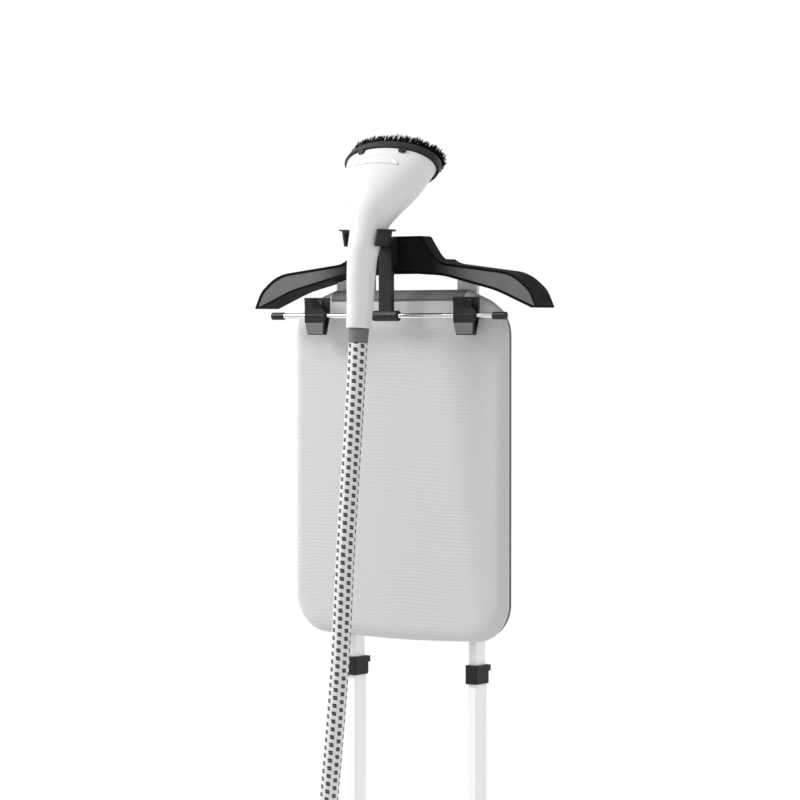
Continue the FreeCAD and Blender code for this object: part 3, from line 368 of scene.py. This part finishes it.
WHITE = (0.83, 0.83, 0.83)
BLACK = (0.012, 0.012, 0.013)
FINISHES = {
    "white_shell": moulded("white_gloss", (0.775, 0.775, 0.78), 0.24, 0.01, 900, 0.00001, Coat_Weight=0.3),
    "pole_white": moulded("white_powder_coat", (0.93, 0.93, 0.93), 0.38, 0.01, 3500, 0.00003),
    "hanger_black": moulded("black_satin", (0.016, 0.016, 0.017), 0.45, Specular_IOR_Level=0.3),
    "clip_black": moulded("black_nylon", BLACK, 0.42, Specular_IOR_Level=0.3),
    "bar_chrome": moulded("bright_chrome", (0.76, 0.76, 0.77), 0.1, 0.02, 1200, 0.000003, Metallic=1.0),
    "pad_fabric": pad_cloth(),
    "board_core": moulded("pale_board", (0.62, 0.61, 0.60), 0.7, 0.05, 900),
    "back_shell": moulded("dark_grey_back", (0.11, 0.11, 0.115), 0.6, 0.06, 1200, 0.00008),
    "hose_cover": woven_cover(),
    "cuff_grey": moulded("grey_soft_plastic", (0.155, 0.155, 0.16), 0.5, 0.04),
    "brush_black": moulded("black_brush_frame", (0.014, 0.014, 0.015), 0.4, Specular_IOR_Level=0.3),
    "bristle_nylon": moulded("black_bristle", (0.006, 0.006, 0.0065), 0.6, 0.2, 1500, Specular_IOR_Level=0.1),
    "plate_steel": brushed_metal("steam_plate_steel", (0.62, 0.62, 0.63), 0.3),
    "trigger_grey": moulded("trigger_grey_plastic", (0.2, 0.2, 0.205), 0.42),
    "inner_tube": moulded("silicone_tube", (0.5, 0.47, 0.42), 0.5, 0.08),
    "base_white": moulded("white_satin_base", WHITE, 0.34, 0.012, 2000, 0.00004),
    "base_grey": moulded("grey_satin_base", (0.30, 0.30, 0.31), 0.45, 0.04),
    "tank_clear": clear_plastic(),
    "cap_grey": moulded("cap_grey_plastic", (0.17, 0.17, 0.175), 0.42),
    "foot_rubber": moulded("foot_rubber", (0.03, 0.03, 0.03), 0.8, 0.15, 1500, 0.0001),
    "wheel_rubber": moulded("tyre_rubber", (0.025, 0.025, 0.026), 0.75, 0.15, 1500, 0.0001),
    "steel": brushed_metal("zinc_steel", (0.55, 0.55, 0.56), 0.3),
    "boiler_metal": brushed_metal("cast_alloy", (0.5, 0.5, 0.5), 0.45),
    "pump_plastic": moulded("pump_black", (0.05, 0.05, 0.055), 0.5),
    "circuit_green": moulded("circuit_lacquer", (0.02, 0.14, 0.06), 0.35, 0.1),
    "pipe_brass": brushed_metal("pipe_brass", (0.62, 0.45, 0.2), 0.3),
}
# The hanger's face: grey arms, with painted shade darkening the face to near black towards the middle block.
HANGER_FACE_PAINTED_SHADE = hanger_plastic_with_painted_shade("hanger_face", (0.010, 0.010, 0.011), (0.165, 0.165, 0.167))
HANGER_BODY = hanger_plastic_with_painted_shade("hanger_body", (0.004, 0.004, 0.0042), (0.004, 0.004, 0.0042))
JAW_FACE = moulded("jaw_face_grey", (0.16, 0.16, 0.163), 0.5, 0.04)
THREAD = moulded("dark_thread", (0.06, 0.06, 0.062), 0.8, 0.2)


# ---- pieces ----

def piece(name, vertices, faces, material, body):
    """A mesh piece that rides on a body and takes the finish it is given."""
    mesh = bpy.data.meshes.new(name)
    mesh.from_pydata([tuple(point) for point in vertices], [], faces)
    mesh.validate()
    made = bpy.data.objects.new(name, mesh)
    bpy.context.scene.collection.objects.link(made)
    finish_piece(made, material, body)
    return made


def finish_piece(made, material, body):
    """Outward faces, smooth shading, material and body of a new piece."""
    form = bmesh.new()
    form.from_mesh(made.data)
    bmesh.ops.recalc_face_normals(form, faces=form.faces)
    form.to_mesh(made.data)
    form.free()
    made.data.polygons.foreach_set("use_smooth", [True] * len(made.data.polygons))
    if material:
        made.data.materials.append(material)
    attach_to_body(made, body)


def home(node):
    """The body that a CAD node rides on."""
    return NODES[node]["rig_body"]


def drop_normals(mesh):
    """Remove the normals that came with a CAD mesh."""
    if "custom_normal" in mesh.attributes:
        mesh.attributes.remove(mesh.attributes["custom_normal"])


def copy_of(node, name):
    """A piece that starts as a welded copy of a CAD node's mesh."""
    mesh = NODES[node].data.copy()
    mesh.name = name
    mesh.materials.clear()
    drop_normals(mesh)
    form = bmesh.new()
    form.from_mesh(mesh)
    bmesh.ops.remove_doubles(form, verts=form.verts, dist=0.00001)
    form.to_mesh(mesh)
    form.free()
    made = bpy.data.objects.new(name, mesh)
    bpy.context.scene.collection.objects.link(made)
    return made


def form_piece(form, name, material, body):
    """A piece made from a form, which is used up."""
    mesh = bpy.data.meshes.new(name)
    form.to_mesh(mesh)
    form.free()
    made = bpy.data.objects.new(name, mesh)
    bpy.context.scene.collection.objects.link(made)
    finish_piece(made, material, body)
    return made


def rounded(item, width, segments=2, angle=32.0):
    """Small rounds on a piece's sharp edges, with even shading."""
    bevel = item.modifiers.new("edge_round", "BEVEL")
    bevel.width = width
    bevel.segments = segments
    bevel.limit_method = "ANGLE"
    bevel.angle_limit = math.radians(angle)
    even = item.modifiers.new("even_shade", "WEIGHTED_NORMAL")
    even.keep_sharp = True
    return item


def loop_faces(rings, around, closed_round=True):
    """Quads between rings that have the same number of points."""
    faces = []
    for ring in range(rings - 1):
        for step in range(around if closed_round else around - 1):
            following = (step + 1) % around
            faces.append((ring * around + step, ring * around + following,
                          (ring + 1) * around + following, (ring + 1) * around + step))
    return faces


# ---- hose ----

# The hose's route from the connector on the base up to the cuff.
HOSE_ROUTE = [(0, 0.024, 0.225), (0, 0.024, 0.298), (-0.016, 0.010, 0.376), (-0.040, -0.014, 0.495),
              (-0.047, -0.034, 0.640), (-0.035, -0.046, 0.800), (-0.015, -0.049, 0.955),
              (-0.002, -0.048, 1.090), (0, -0.043, 1.200), (0, -0.033, 1.295), (0, -0.023, 1.3847),
              (0, -0.017, 1.4537)]
HOSE_AROUND = 48
HOSE_STEPS = 54
BRAID_STRANDS = 12
BRAID_STEP = 0.0017
BRAID_RELIEF = 0.00012
BRAID_SUNK = 0.0001


def hose_line():
    """Points along the hose's smooth line."""
    curve = bpy.data.curves.new("hose_line", "CURVE")
    curve.dimensions = "3D"
    spline = curve.splines.new("NURBS")
    spline.points.add(len(HOSE_ROUTE) - 1)
    for point, place in zip(spline.points, HOSE_ROUTE):
        point.co = (*place, 1)
    spline.order_u = 3
    spline.use_endpoint_u = True
    spline.resolution_u = HOSE_STEPS
    holder = bpy.data.objects.new("hose_line", curve)
    bpy.context.scene.collection.objects.link(holder)
    bpy.context.view_layer.update()
    mesh = bpy.data.meshes.new_from_object(holder)
    points = [vertex.co.copy() for vertex in mesh.vertices]
    bpy.data.objects.remove(holder)
    return points


def make_hose():
    """Braided hose: a tube whose surface rises and falls with the braid, charted for its marks."""
    line = hose_line()
    count = len(line)
    vertices, reached = [], 0.0
    marks = []
    for index, point in enumerate(line):
        ahead, behind = line[min(index + 1, count - 1)], line[max(index - 1, 0)]
        along = (ahead - behind).normalized()
        side = along.cross(Vector((0, -1, 0))).normalized()
        front = side.cross(along).normalized()
        if index:
            reached += (point - line[index - 1]).length
        marks.append(reached)
        for step in range(HOSE_AROUND):
            turn = 2 * math.pi * step / HOSE_AROUND
            strand, rise = BRAID_STRANDS * turn, reached / BRAID_STEP
            braid = math.sin(strand + rise) * math.sin(strand - rise)
            radius = HOSE_RADIUS + BRAID_RELIEF * braid - BRAID_SUNK
            vertices.append(point + (side * math.cos(turn) + front * math.sin(turn)) * radius)
    hose = piece("woven_hose", vertices, loop_faces(count, HOSE_AROUND), FINISHES["hose_cover"],
                 home("steam_hose"))
    chart = hose.data.uv_layers.new(name="cover")
    for polygon in hose.data.polygons:
        corners = list(polygon.vertices)
        steps = [corner % HOSE_AROUND for corner in corners]
        for corner, step, loop in zip(corners, steps, polygon.loop_indices):
            if step == 0 and max(steps) == HOSE_AROUND - 1:
                step = HOSE_AROUND
            along = marks[corner // HOSE_AROUND]
            chart.data[loop].uv = (step * HOSE_COLUMNS / HOSE_AROUND, along / HOSE_PITCH)
    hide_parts("steam_hose")
    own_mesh(hose)


# ---- press board ----

def outer_loop(node, level, axis=1):
    """The corner points of a CAD node's flat face at one depth, in order round it."""
    form = bmesh.new()
    form.from_mesh(NODES[node].data)
    bmesh.ops.remove_doubles(form, verts=form.verts, dist=0.00001)
    edges = [edge for edge in form.edges
             if all(abs(v.co[axis] - level) < 0.00005 for v in edge.verts)
             and any(abs(face.normal[axis]) < 0.5 for face in edge.link_faces)]
    follow = {}
    for edge in edges:
        for here, there in (edge.verts, reversed(edge.verts)):
            follow.setdefault(here.index, []).append(there.index)
    form.verts.ensure_lookup_table()
    start = edges[0].verts[0].index
    loop, before, here = [start], None, start
    while True:
        there = next(index for index in follow[here] if index != before)
        if there == start:
            break
        loop.append(there)
        before, here = here, there
    points = [form.verts[index].co.copy() for index in loop]
    form.free()
    return points


def even_loop(points, count):
    """The same closed outline with points spaced evenly."""
    lengths = [0.0]
    closed = points + [points[0]]
    for first, second in zip(closed, closed[1:]):
        lengths.append(lengths[-1] + (second - first).length)
    spaced, segment = [], 0
    for number in range(count):
        target = lengths[-1] * number / count
        while lengths[segment + 1] < target:
            segment += 1
        share = (target - lengths[segment]) / (lengths[segment + 1] - lengths[segment])
        spaced.append(closed[segment].lerp(closed[segment + 1], share))
    return spaced


def laced(ring, around):
    """Faces that close a ring of points, laced across it from its first point to the opposite one."""
    at = [ring * around + step for step in range(around)]
    half = around // 2
    faces = [(at[0], at[1], at[-1]), (at[half - 1], at[half], at[half + 1])]
    return faces + [(at[step], at[step + 1], at[-step - 1], at[-step]) for step in range(1, half - 1)]


PAD_AROUND = 260
PAD_ROUND = 0.0135
PAD_CROWN = 0.0022
# How far in front of the pad's back the rounded edge starts.
PAD_BACK_GAP = 0.0015
# Distance from the pad's edge to its middle, over which the rings shrink.
PAD_REACH = 0.1551
PAD_INSETS = [0.0, 0.0004, 0.0012, 0.0026, 0.0045, 0.007, 0.010, 0.0135, 0.018, 0.026, 0.038,
              0.055, 0.075, 0.095, 0.115, 0.135, 0.150]
PUCKER_DEEP = 0.00025
PUCKER_FADE = 0.012
BAND_TALL = 0.0095
BAND_HALF = 0.0965
BAND_COLUMNS = 120
BAND_ROWS = 14
BAND_LIFT = 0.0004
STITCH_PITCH = 0.0034
STITCH_RADIUS = 0.0005
STITCH_STRETCH = 2.1


def pad_depth(inset, front, back):
    """How far forward the pad's surface is at a distance in from its edge."""
    share = min(1.0, inset / PAD_ROUND)
    return back - (back - front) * math.sqrt(1 - (1 - share) ** 2)


def make_pad():
    """Soft board cover: a rounded edge all round, a slight crown, and puckers near the edge."""
    low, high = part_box("board_pad")
    loop = even_loop(outer_loop("board_pad", high.y), PAD_AROUND)
    middle = Vector((0, 0, (low.z + high.z) / 2))
    from_foot = [abs(point.x) + max(0.0, point.z - middle.z) for point in loop]
    first = from_foot.index(min(from_foot))
    loop = loop[first:] + loop[:first]
    vertices = [Vector((point.x, high.y, point.z)) for point in loop]
    for inset in PAD_INSETS:
        for number, point in enumerate(loop):
            flat = Vector((point.x, 0, point.z)) - middle
            towards = flat * max(0.0, 1 - inset / PAD_REACH)
            across, up = towards.x / high.x, towards.z / (high.z - middle.z)
            crown = PAD_CROWN * (1 - across ** 2) * (1 - up ** 2) * min(1.0, inset / PAD_ROUND)
            wave = math.sin(number * 0.9 + 2 * math.sin(number * 0.37))
            pucker = PUCKER_DEEP * wave * math.exp(-inset / PUCKER_FADE)
            depth = pad_depth(inset, low.y + PAD_CROWN, high.y - PAD_BACK_GAP) - crown
            depth += pucker * min(1.0, inset / 0.003)
            vertices.append(middle + towards + Vector((0, depth, 0)))
    rings = len(PAD_INSETS) + 1
    faces = loop_faces(rings, PAD_AROUND)
    faces += laced(0, PAD_AROUND) + laced(rings - 1, PAD_AROUND)
    pad = piece("press_pad", vertices, faces, FINISHES["pad_fabric"], home("board_pad"))
    smooth = pad.modifiers.new("soft", "SUBSURF")
    smooth.levels = 1
    smooth.render_levels = 1
    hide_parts("board_pad")
    make_band(low, high)


def make_band(low, high):
    """Open mesh band turned over the board's top edge, with a row of stitches."""
    vertices = []
    half_tall = high.z - (low.z + high.z) / 2
    for column in range(BAND_COLUMNS):
        x = -BAND_HALF + 2 * BAND_HALF * column / (BAND_COLUMNS - 1)
        for row in range(BAND_ROWS):
            inset = BAND_TALL * row / (BAND_ROWS - 1)
            depth = pad_depth(inset, low.y + PAD_CROWN, high.y - PAD_BACK_GAP) - BAND_LIFT
            vertices.append((x, depth, high.z + BAND_LIFT - inset * half_tall / PAD_REACH))
    band = piece("top_band", vertices, loop_faces(BAND_COLUMNS, BAND_ROWS, False), band_mesh(),
                 home("board_pad"))
    thick = band.modifiers.new("thick", "SOLIDIFY")
    thick.thickness = 0.0006
    thick.offset = 0
    edge = Vector(vertices[BAND_ROWS - 1]) + Vector((0, -BAND_LIFT, 0.0016))
    stitches = bmesh.new()
    for number in range(int(2 * BAND_HALF / STITCH_PITCH)):
        centre = Vector((-BAND_HALF + STITCH_PITCH * (number + 0.5), edge.y, edge.z))
        made = bmesh.ops.create_uvsphere(stitches, u_segments=8, v_segments=6, radius=STITCH_RADIUS)
        for vertex in made["verts"]:
            vertex.co.x *= STITCH_STRETCH
            vertex.co += centre
    form_piece(stitches, "band_stitches", THREAD, home("board_pad"))


# ---- hanger ----

FACE_RIM = 0.0022
FACE_SUNK = 0.0010
FACE_STEP = 0.0008


def make_hanger():
    """Hanger with a sunk face inside a narrow rim."""
    made = copy_of("hanger", "hanger_frame")
    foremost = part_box("hanger")[0].y + 0.0005
    form = bmesh.new()
    form.from_mesh(made.data)
    front = [face for face in form.faces
             if face.normal.y < -0.99 and face.calc_center_median().y < foremost]
    bmesh.ops.inset_region(form, faces=front, thickness=FACE_RIM, use_even_offset=False)
    bmesh.ops.inset_region(form, faces=front, thickness=FACE_STEP, depth=-FACE_SUNK,
                           use_even_offset=False)
    # The sunk face takes the face material, with its painted shade towards the middle block.
    for face in front:
        face.material_index = 1
    form.to_mesh(made.data)
    form.free()
    made.data.materials.append(HANGER_BODY)
    made.data.materials.append(HANGER_FACE_PAINTED_SHADE)
    finish_piece(made, None, home("hanger"))
    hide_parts("hanger")
    rounded(made, 0.0011, 2, 50)


# ---- handset ----

MOUTH = Vector((0, 0.048, 1.6615))
MOUTH_LEAN = math.radians(50)
MOUTH_HALF = 0.064
MOUTH_DEEP = 0.029
OUTWARD = Vector((0, math.sin(MOUTH_LEAN), math.cos(MOUTH_LEAN)))
DOWNWARD = Vector((0, math.cos(MOUTH_LEAN), -math.sin(MOUTH_LEAN)))
# The last rows of the handset's form, up to its mouth: depth, height, half width, half depth, lean.
HEAD_ROWS = [(0.017, 1.620, 0.0425, 0.027, 36), (0.030, 1.639, 0.055, 0.0295, 44),
             (0.048, 1.6615, 0.064, 0.029, 50)]


def head_point(row, turn):
    """A place on the handset's head: row from 0 to 2, turn in degrees from the middle of the front."""
    index = min(int(row), len(HEAD_ROWS) - 2)
    share = row - index
    y, z, wide, deep, lean = (here + (there - here) * share
                              for here, there in zip(HEAD_ROWS[index], HEAD_ROWS[index + 1]))
    tilt = math.radians(lean)
    angle = math.radians(turn) - math.pi / 2
    across, ahead = wide * math.cos(angle), deep * math.sin(angle)
    return Vector((across, y + ahead * math.cos(tilt), z - ahead * math.sin(tilt)))


def on_shell(point, out):
    """The nearest place on the handset's front shell, lifted off it a little."""
    place, normal = NODES["handset_front_shell"].closest_point_on_mesh(point)[1:3]
    return place + normal * out


BADGE_HALF = 0.034
BADGE_TALL = 0.0115
BADGE_FOOT_ROW = 1.23
BADGE_STEPS = 48
# Rings from the badge's edge inwards: share of its size, and lift off the shell.
BADGE_RINGS = [(1.0, 0.0001), (0.985, 0.0009), (0.95, 0.0010), (0.92, 0.0003), (0.89, 0.00015)]


def make_badge():
    """Blank lens-shaped badge: arched top, straight foot, with a raised rim line."""
    base = head_point(BADGE_FOOT_ROW, 0)
    up = (head_point(1.9, 0) - base).normalized()
    rim = []
    for number in range(BADGE_STEPS + 1):
        x = -BADGE_HALF + 2 * BADGE_HALF * number / BADGE_STEPS
        rim.append((x, BADGE_TALL * (1 - (x / BADGE_HALF) ** 2) ** 0.55))
    outline = rim + [(x, 0.0) for x, height in reversed(rim[1:-1])]
    count = len(outline)
    centre = BADGE_TALL * 0.45
    vertices = []
    for share, out in BADGE_RINGS:
        for x, height in outline:
            flat = base + Vector((x * share, 0, 0)) + up * (centre + (height - centre) * share)
            vertices.append(on_shell(flat, out))
    faces = loop_faces(len(BADGE_RINGS), count)
    faces.append(tuple(range((len(BADGE_RINGS) - 1) * count, len(BADGE_RINGS) * count)))
    piece("badge_blank", vertices, faces, FINISHES["white_shell"], home("handset_front_shell"))


CATCH_TURN = 28.0
CATCH_HALF = 0.0048
CATCH_LONG = 0.0052
CATCH_START = -0.006
CATCH_SUNK = -0.0006
CATCH_THICK = 0.0022


def make_tabs():
    """Two small black catches of the brush frame, over the head's top edge."""
    corners = [(-CATCH_HALF, CATCH_START), (CATCH_HALF, CATCH_START), (CATCH_HALF, CATCH_LONG * 0.55),
               (CATCH_HALF * 0.72, CATCH_LONG), (-CATCH_HALF * 0.72, CATCH_LONG),
               (-CATCH_HALF, CATCH_LONG * 0.55)]
    count = len(corners)
    faces = loop_faces(2, count) + [tuple(range(count)), tuple(range(count, 2 * count))]
    for word, turn in (("left", -CATCH_TURN), ("right", CATCH_TURN)):
        root = head_point(2.0, turn)
        side = (head_point(2.0, turn + 6) - head_point(2.0, turn - 6)).normalized()
        down = (head_point(1.8, turn) - root).normalized()
        out = side.cross(down).normalized()
        if out.y > 0:
            out.negate()
        vertices = []
        for lift in (CATCH_SUNK, CATCH_THICK):
            vertices += [root + side * across + down * along + out * lift for across, along in corners]
        tab = piece(f"brush_catch_{word}", vertices, faces, FINISHES["brush_black"],
                    home("brush_frame"))
        rounded(tab, 0.0007, 3)


BRISTLE_LOW = 0.0090
BRISTLE_TALL = 0.0118
TUFT_ROWS = 4
OUTER_TUFTS = 112
FEWER_A_ROW = 6
ROW_STEP = 0.0022
ROW_OUTSIDE = 0.0008
TUFT_HAIRS = 8
SCATTER = 0.13


def make_bristles():
    """Black nylon tufts, several hairs each, standing in four rows round the mouth."""
    chance = random.Random(7)
    vertices, faces = [], []
    for row in range(TUFT_ROWS):
        wide = MOUTH_HALF + ROW_OUTSIDE - ROW_STEP * row
        deep = MOUTH_DEEP + ROW_OUTSIDE - ROW_STEP * row
        around = OUTER_TUFTS - FEWER_A_ROW * row
        for number in range(around):
            turn = 2 * math.pi * (number + 0.5 * (row % 2)) / around
            root = MOUTH + Vector((wide * math.cos(turn), 0, 0)) + DOWNWARD * (deep * math.sin(turn))
            root += OUTWARD * BRISTLE_LOW
            away = Vector((math.cos(turn), 0, 0)) * 0.6 + DOWNWARD * math.sin(turn)
            scatter = Vector([chance.uniform(-SCATTER, SCATTER) for axis in range(3)])
            splay = OUTWARD + away * (0.16 - 0.06 * row) + scatter
            splay.normalize()
            for hair in range(TUFT_HAIRS):
                grow_hair(vertices, faces, chance, root, splay, away)
    bristles = piece("bristle_tufts", vertices, faces, FINISHES["bristle_nylon"], home("brush_bristles"))
    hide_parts("brush_bristles")


# Places along a hair, as a share of its height, with its radius there.
HAIR_TAPER = ((0.0, 0.00046), (0.55, 0.00042), (0.97, 0.00026))


def grow_hair(vertices, faces, chance, root, splay, away):
    """One tapered three-sided hair of a tuft."""
    first = splay.cross(Vector((1, 0.3, 0.2))).normalized()
    second = splay.cross(first)
    turn = chance.uniform(0, 2 * math.pi)
    spread = chance.uniform(0, 0.00075)
    foot = root + (first * math.cos(turn) + second * math.sin(turn)) * spread
    lean = (splay + (first * math.cos(turn) + second * math.sin(turn)) * 0.09).normalized()
    tall = BRISTLE_TALL * chance.uniform(0.86, 1.12)
    start = len(vertices)
    for height, radius in HAIR_TAPER:
        centre = foot + lean * (tall * height) + away * (0.0006 * height ** 2)
        for corner in range(3):
            angle = turn + 2 * math.pi * corner / 3
            vertices.append(centre + (first * math.cos(angle) + second * math.sin(angle)) * radius)
    faces.extend(tuple(start + index for index in face) for face in loop_faces(3, 3))
    faces.append((start, start + 2, start + 1))
    faces.append((start + 6, start + 7, start + 8))


# ---- trouser clips ----

CLIP_CENTRES = {"left": -0.103, "right": 0.115}
BAR_LOW, BAR_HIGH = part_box("trouser_bar")
BAR_LEVEL = (BAR_LOW.z + BAR_HIGH.z) / 2
BAR_DEPTH = (BAR_LOW.y + BAR_HIGH.y) / 2
JAW_HALF = 0.0145
PLATE_LOW = 0.3
# How much of each side's half width a thumb plate keeps at its top: left, right.
PLATE_TOPS = {"front": (1.0, 0.05), "back": (0.45, 1.0)}
THUMB_RIBS = 5
THUMB_RIB_FIRST = 0.0102
THUMB_RIB_PITCH = 0.0024
THUMB_RIB_RADIUS = 0.00055
THUMB_RIB_MARGIN = 0.002
# The pale panel on a front jaw's mouth: half width, depth and height from the bar's axis.
PANEL_TOP = (0.0136, -0.00612, -0.0082)
PANEL_FOOT = (0.0114, -0.00402, -0.0214)


def jaw_share(word, rise, right):
    """How wide a jaw is at a height, from -1 at its mouth, by 0 at the bar, to 1 at its top."""
    if rise > PLATE_LOW:
        return 1 - (1 - PLATE_TOPS[word][right]) * (rise - PLATE_LOW) / (1 - PLATE_LOW)
    return 1 + 0.28 * (rise + PLATE_LOW) if rise < -PLATE_LOW else 1.0


def make_jaw(side, word, centre):
    """A clip's jaw with a slanting ribbed thumb plate and a narrowing mouth."""
    node = f"clip_{word}_{side}"
    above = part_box(node)[1].z - BAR_LEVEL
    made = copy_of(node, f"jaw_{word}_{side}")
    for vertex in made.data.vertices:
        across, rise = vertex.co.x - centre, (vertex.co.z - BAR_LEVEL) / above
        vertex.co.x = centre + across * jaw_share(word, rise, across > 0)
    finish_piece(made, FINISHES["clip_black"], home(node))
    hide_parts(node)
    rounded(made, 0.0006, 2)
    ribs = bmesh.new()
    for number in range(THUMB_RIBS):
        tall = THUMB_RIB_FIRST + THUMB_RIB_PITCH * number
        start = -JAW_HALF * jaw_share(word, tall / above, False) + THUMB_RIB_MARGIN
        end = JAW_HALF * jaw_share(word, tall / above, True) - THUMB_RIB_MARGIN
        face = BAR_DEPTH - 0.0060 - 0.07 * tall if word == "front" else BAR_DEPTH + 0.0066
        rib = bmesh.ops.create_cone(ribs, cap_ends=True, segments=10, radius1=THUMB_RIB_RADIUS,
                                    radius2=THUMB_RIB_RADIUS, depth=end - start)
        for vertex in rib["verts"]:
            vertex.co = Vector((centre + (start + end) / 2 + vertex.co.z, face + vertex.co.y,
                                BAR_LEVEL + tall + vertex.co.x))
    form_piece(ribs, f"thumb_ribs_{word}_{side}", FINISHES["clip_black"], home(node))


def make_jaw_face(side, centre):
    """Paler panel on the outside of the front jaw's mouth."""
    slope = Vector((0, PANEL_FOOT[1] - PANEL_TOP[1], PANEL_FOOT[2] - PANEL_TOP[2])).normalized()
    out = Vector((0, slope.z, -slope.y))
    if out.y > 0:
        out.negate()
    axis = Vector((centre, BAR_DEPTH, BAR_LEVEL))
    corners = [(-1, PANEL_TOP), (1, PANEL_TOP), (1, PANEL_FOOT), (-1, PANEL_FOOT)]
    vertices = []
    for lift in (-0.0003, 0.0004):
        vertices += [axis + Vector((sign * half, ahead, height)) + out * lift
                     for sign, (half, ahead, height) in corners]
    faces = loop_faces(2, 4) + [(0, 1, 2, 3), (4, 5, 6, 7)]
    panel = piece(f"jaw_panel_{side}", vertices, faces, JAW_FACE, home(f"clip_front_{side}"))
    rounded(panel, 0.0003, 2)


def make_clips():
    """Both clips: two jaws each, and a paler face on the front jaw's mouth."""
    for side, centre in CLIP_CENTRES.items():
        for word in ("front", "back"):
            make_jaw(side, word, centre)
        make_jaw_face(side, centre)


# ---- small parts of the base ----

# Upright ribs: radius they stand at, their foot and top below the piece's top, count, thickness.
TOP_RIBS = {"steam_dial": (0.0218, 0.0145, 0.002, 30, 0.0009),
            "tank_cap": (0.0279, 0.0095, 0.002, 44, 0.0008)}
TYRE_RIBS = 36
TYRE_RIB_THICK = 0.0007
TYRE_RIB_MARGIN = 0.002
POINTER_SIZE = (0.0016, 0.012, 0.0012)
POINTER_AHEAD = 0.013
# Heights of the level marks on the tank, their place across it, and their sizes.
LEVELS = (0.108, 0.131, 0.154, 0.177)
MARKS_ACROSS = -0.045
MARK_SHORT, MARK_LONGER = 0.014, 0.008
MARK_DEEP, MARK_HIGH = 0.0006, 0.0011


def attach(form, name, node, material):
    """Turn a form into a piece that rides with a CAD node's body, with the material it is given."""
    return form_piece(form, name, material, home(node))


def ridges(node, along_x, radius, start, end, count, thick):
    """Straight ribs along a round piece's side, all the way round it."""
    low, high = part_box(node)
    centre = (low + high) / 2
    middle = (start + end) / 2
    form = bmesh.new()
    for number in range(count):
        turn = 2 * math.pi * number / count
        first, second = radius * math.cos(turn), radius * math.sin(turn)
        rib = bmesh.ops.create_cone(form, cap_ends=True, segments=8, radius1=thick, radius2=thick,
                                    depth=end - start)
        for vertex in rib["verts"]:
            across, ahead, along = vertex.co
            if along_x:
                vertex.co = (middle + along, centre.y + first + across, centre.z + second + ahead)
            else:
                vertex.co = (centre.x + first + across, centre.y + second + ahead, middle + along)
    attach(form, f"{node}_ridges", node, NODES[node].material_slots[0].material)


def top_ridges(node):
    """Grip ribs round the side of a dial or cap."""
    radius, foot, top, count, thick = TOP_RIBS[node]
    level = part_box(node)[1].z
    ridges(node, False, radius, level - foot, level - top, count, thick)


def add_bar(form, centre, size):
    """Add a straight-sided bar to a form."""
    for vertex in bmesh.ops.create_cube(form, size=1.0)["verts"]:
        vertex.co = [at + part * side for at, part, side in zip(centre, vertex.co, size)]


def make_base_trim():
    """Grip ribs on the dial, cap and tyres, a pointer on the dial, and level marks on the tank."""
    top_ridges("steam_dial")
    low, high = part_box("steam_dial")
    pointer = bmesh.new()
    add_bar(pointer, ((low.x + high.x) / 2, (low.y + high.y) / 2 - POINTER_AHEAD, high.z), POINTER_SIZE)
    rounded(attach(pointer, "dial_pointer", "steam_dial", FINISHES["base_white"]), 0.0003, 2)
    top_ridges("tank_cap")
    for side in ("left", "right"):
        low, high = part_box(f"wheel_{side}")
        ridges(f"wheel_{side}", True, (high.z - low.z) / 2, low.x + TYRE_RIB_MARGIN,
               high.x - TYRE_RIB_MARGIN, TYRE_RIBS, TYRE_RIB_THICK)
    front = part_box("water_tank")[0].y
    marks = bmesh.new()
    for number, height in enumerate(LEVELS):
        long = MARK_SHORT + MARK_LONGER * (number % 2)
        add_bar(marks, (MARKS_ACROSS, front, height), (long, MARK_DEEP, MARK_HIGH))
    rounded(attach(marks, "level_marks", "water_tank", FINISHES["cap_grey"]), 0.0002, 2)


# ---- carried-over CAD pieces ----

ROUNDS = {
    "upper_housing": 0.0012, "base_tray": 0.0012, "water_tank": 0.0008, "tank_cap": 0.0010,
    "steam_dial": 0.0006, "power_pedal": 0.0010, "pole_sockets": 0.0015, "hose_connector": 0.0010,
    "cord_inlet": 0.0008, "rubber_feet": 0.0012, "wheel_left": 0.0020, "wheel_right": 0.0020,
    "board_plate": 0.0006, "board_back_shell": 0.0016, "bar_arm": 0.0009, "bar_caps": 0.0012,
    "fork": 0.0006, "brush_frame": 0.0010, "steam_trigger": 0.0010, "handle_cuff": 0.0006,
    "boiler": 0.0015, "pump": 0.0010, "bracket_left": 0.0006, "bracket_right": 0.0006,
}


def dress_cad():
    """Give every CAD piece its finish, and small rounds where its edges are seen."""
    for name, item in NODES.items():
        for slot in item.material_slots:
            kind = slot.material.name.split(".")[0]
            slot.link = "OBJECT"
            slot.material = FINISHES[kind]
        stem = name.replace("_left", "").replace("_right", "")
        width = ROUNDS.get(name) or (0.0005 if stem.endswith(("_collar", "_lever")) else 0)
        if width:
            drop_normals(item.data)
            item.data.polygons.foreach_set("use_smooth", [True] * len(item.data.polygons))
            weld = item.modifiers.new("weld", "WELD")
            weld.merge_threshold = 0.00001
            rounded(item, width)


make_camera()
make_hose()
make_studio()
make_pad()
make_hanger()
make_badge()
make_tabs()
make_bristles()
make_clips()
dress_cad()
make_base_trim()
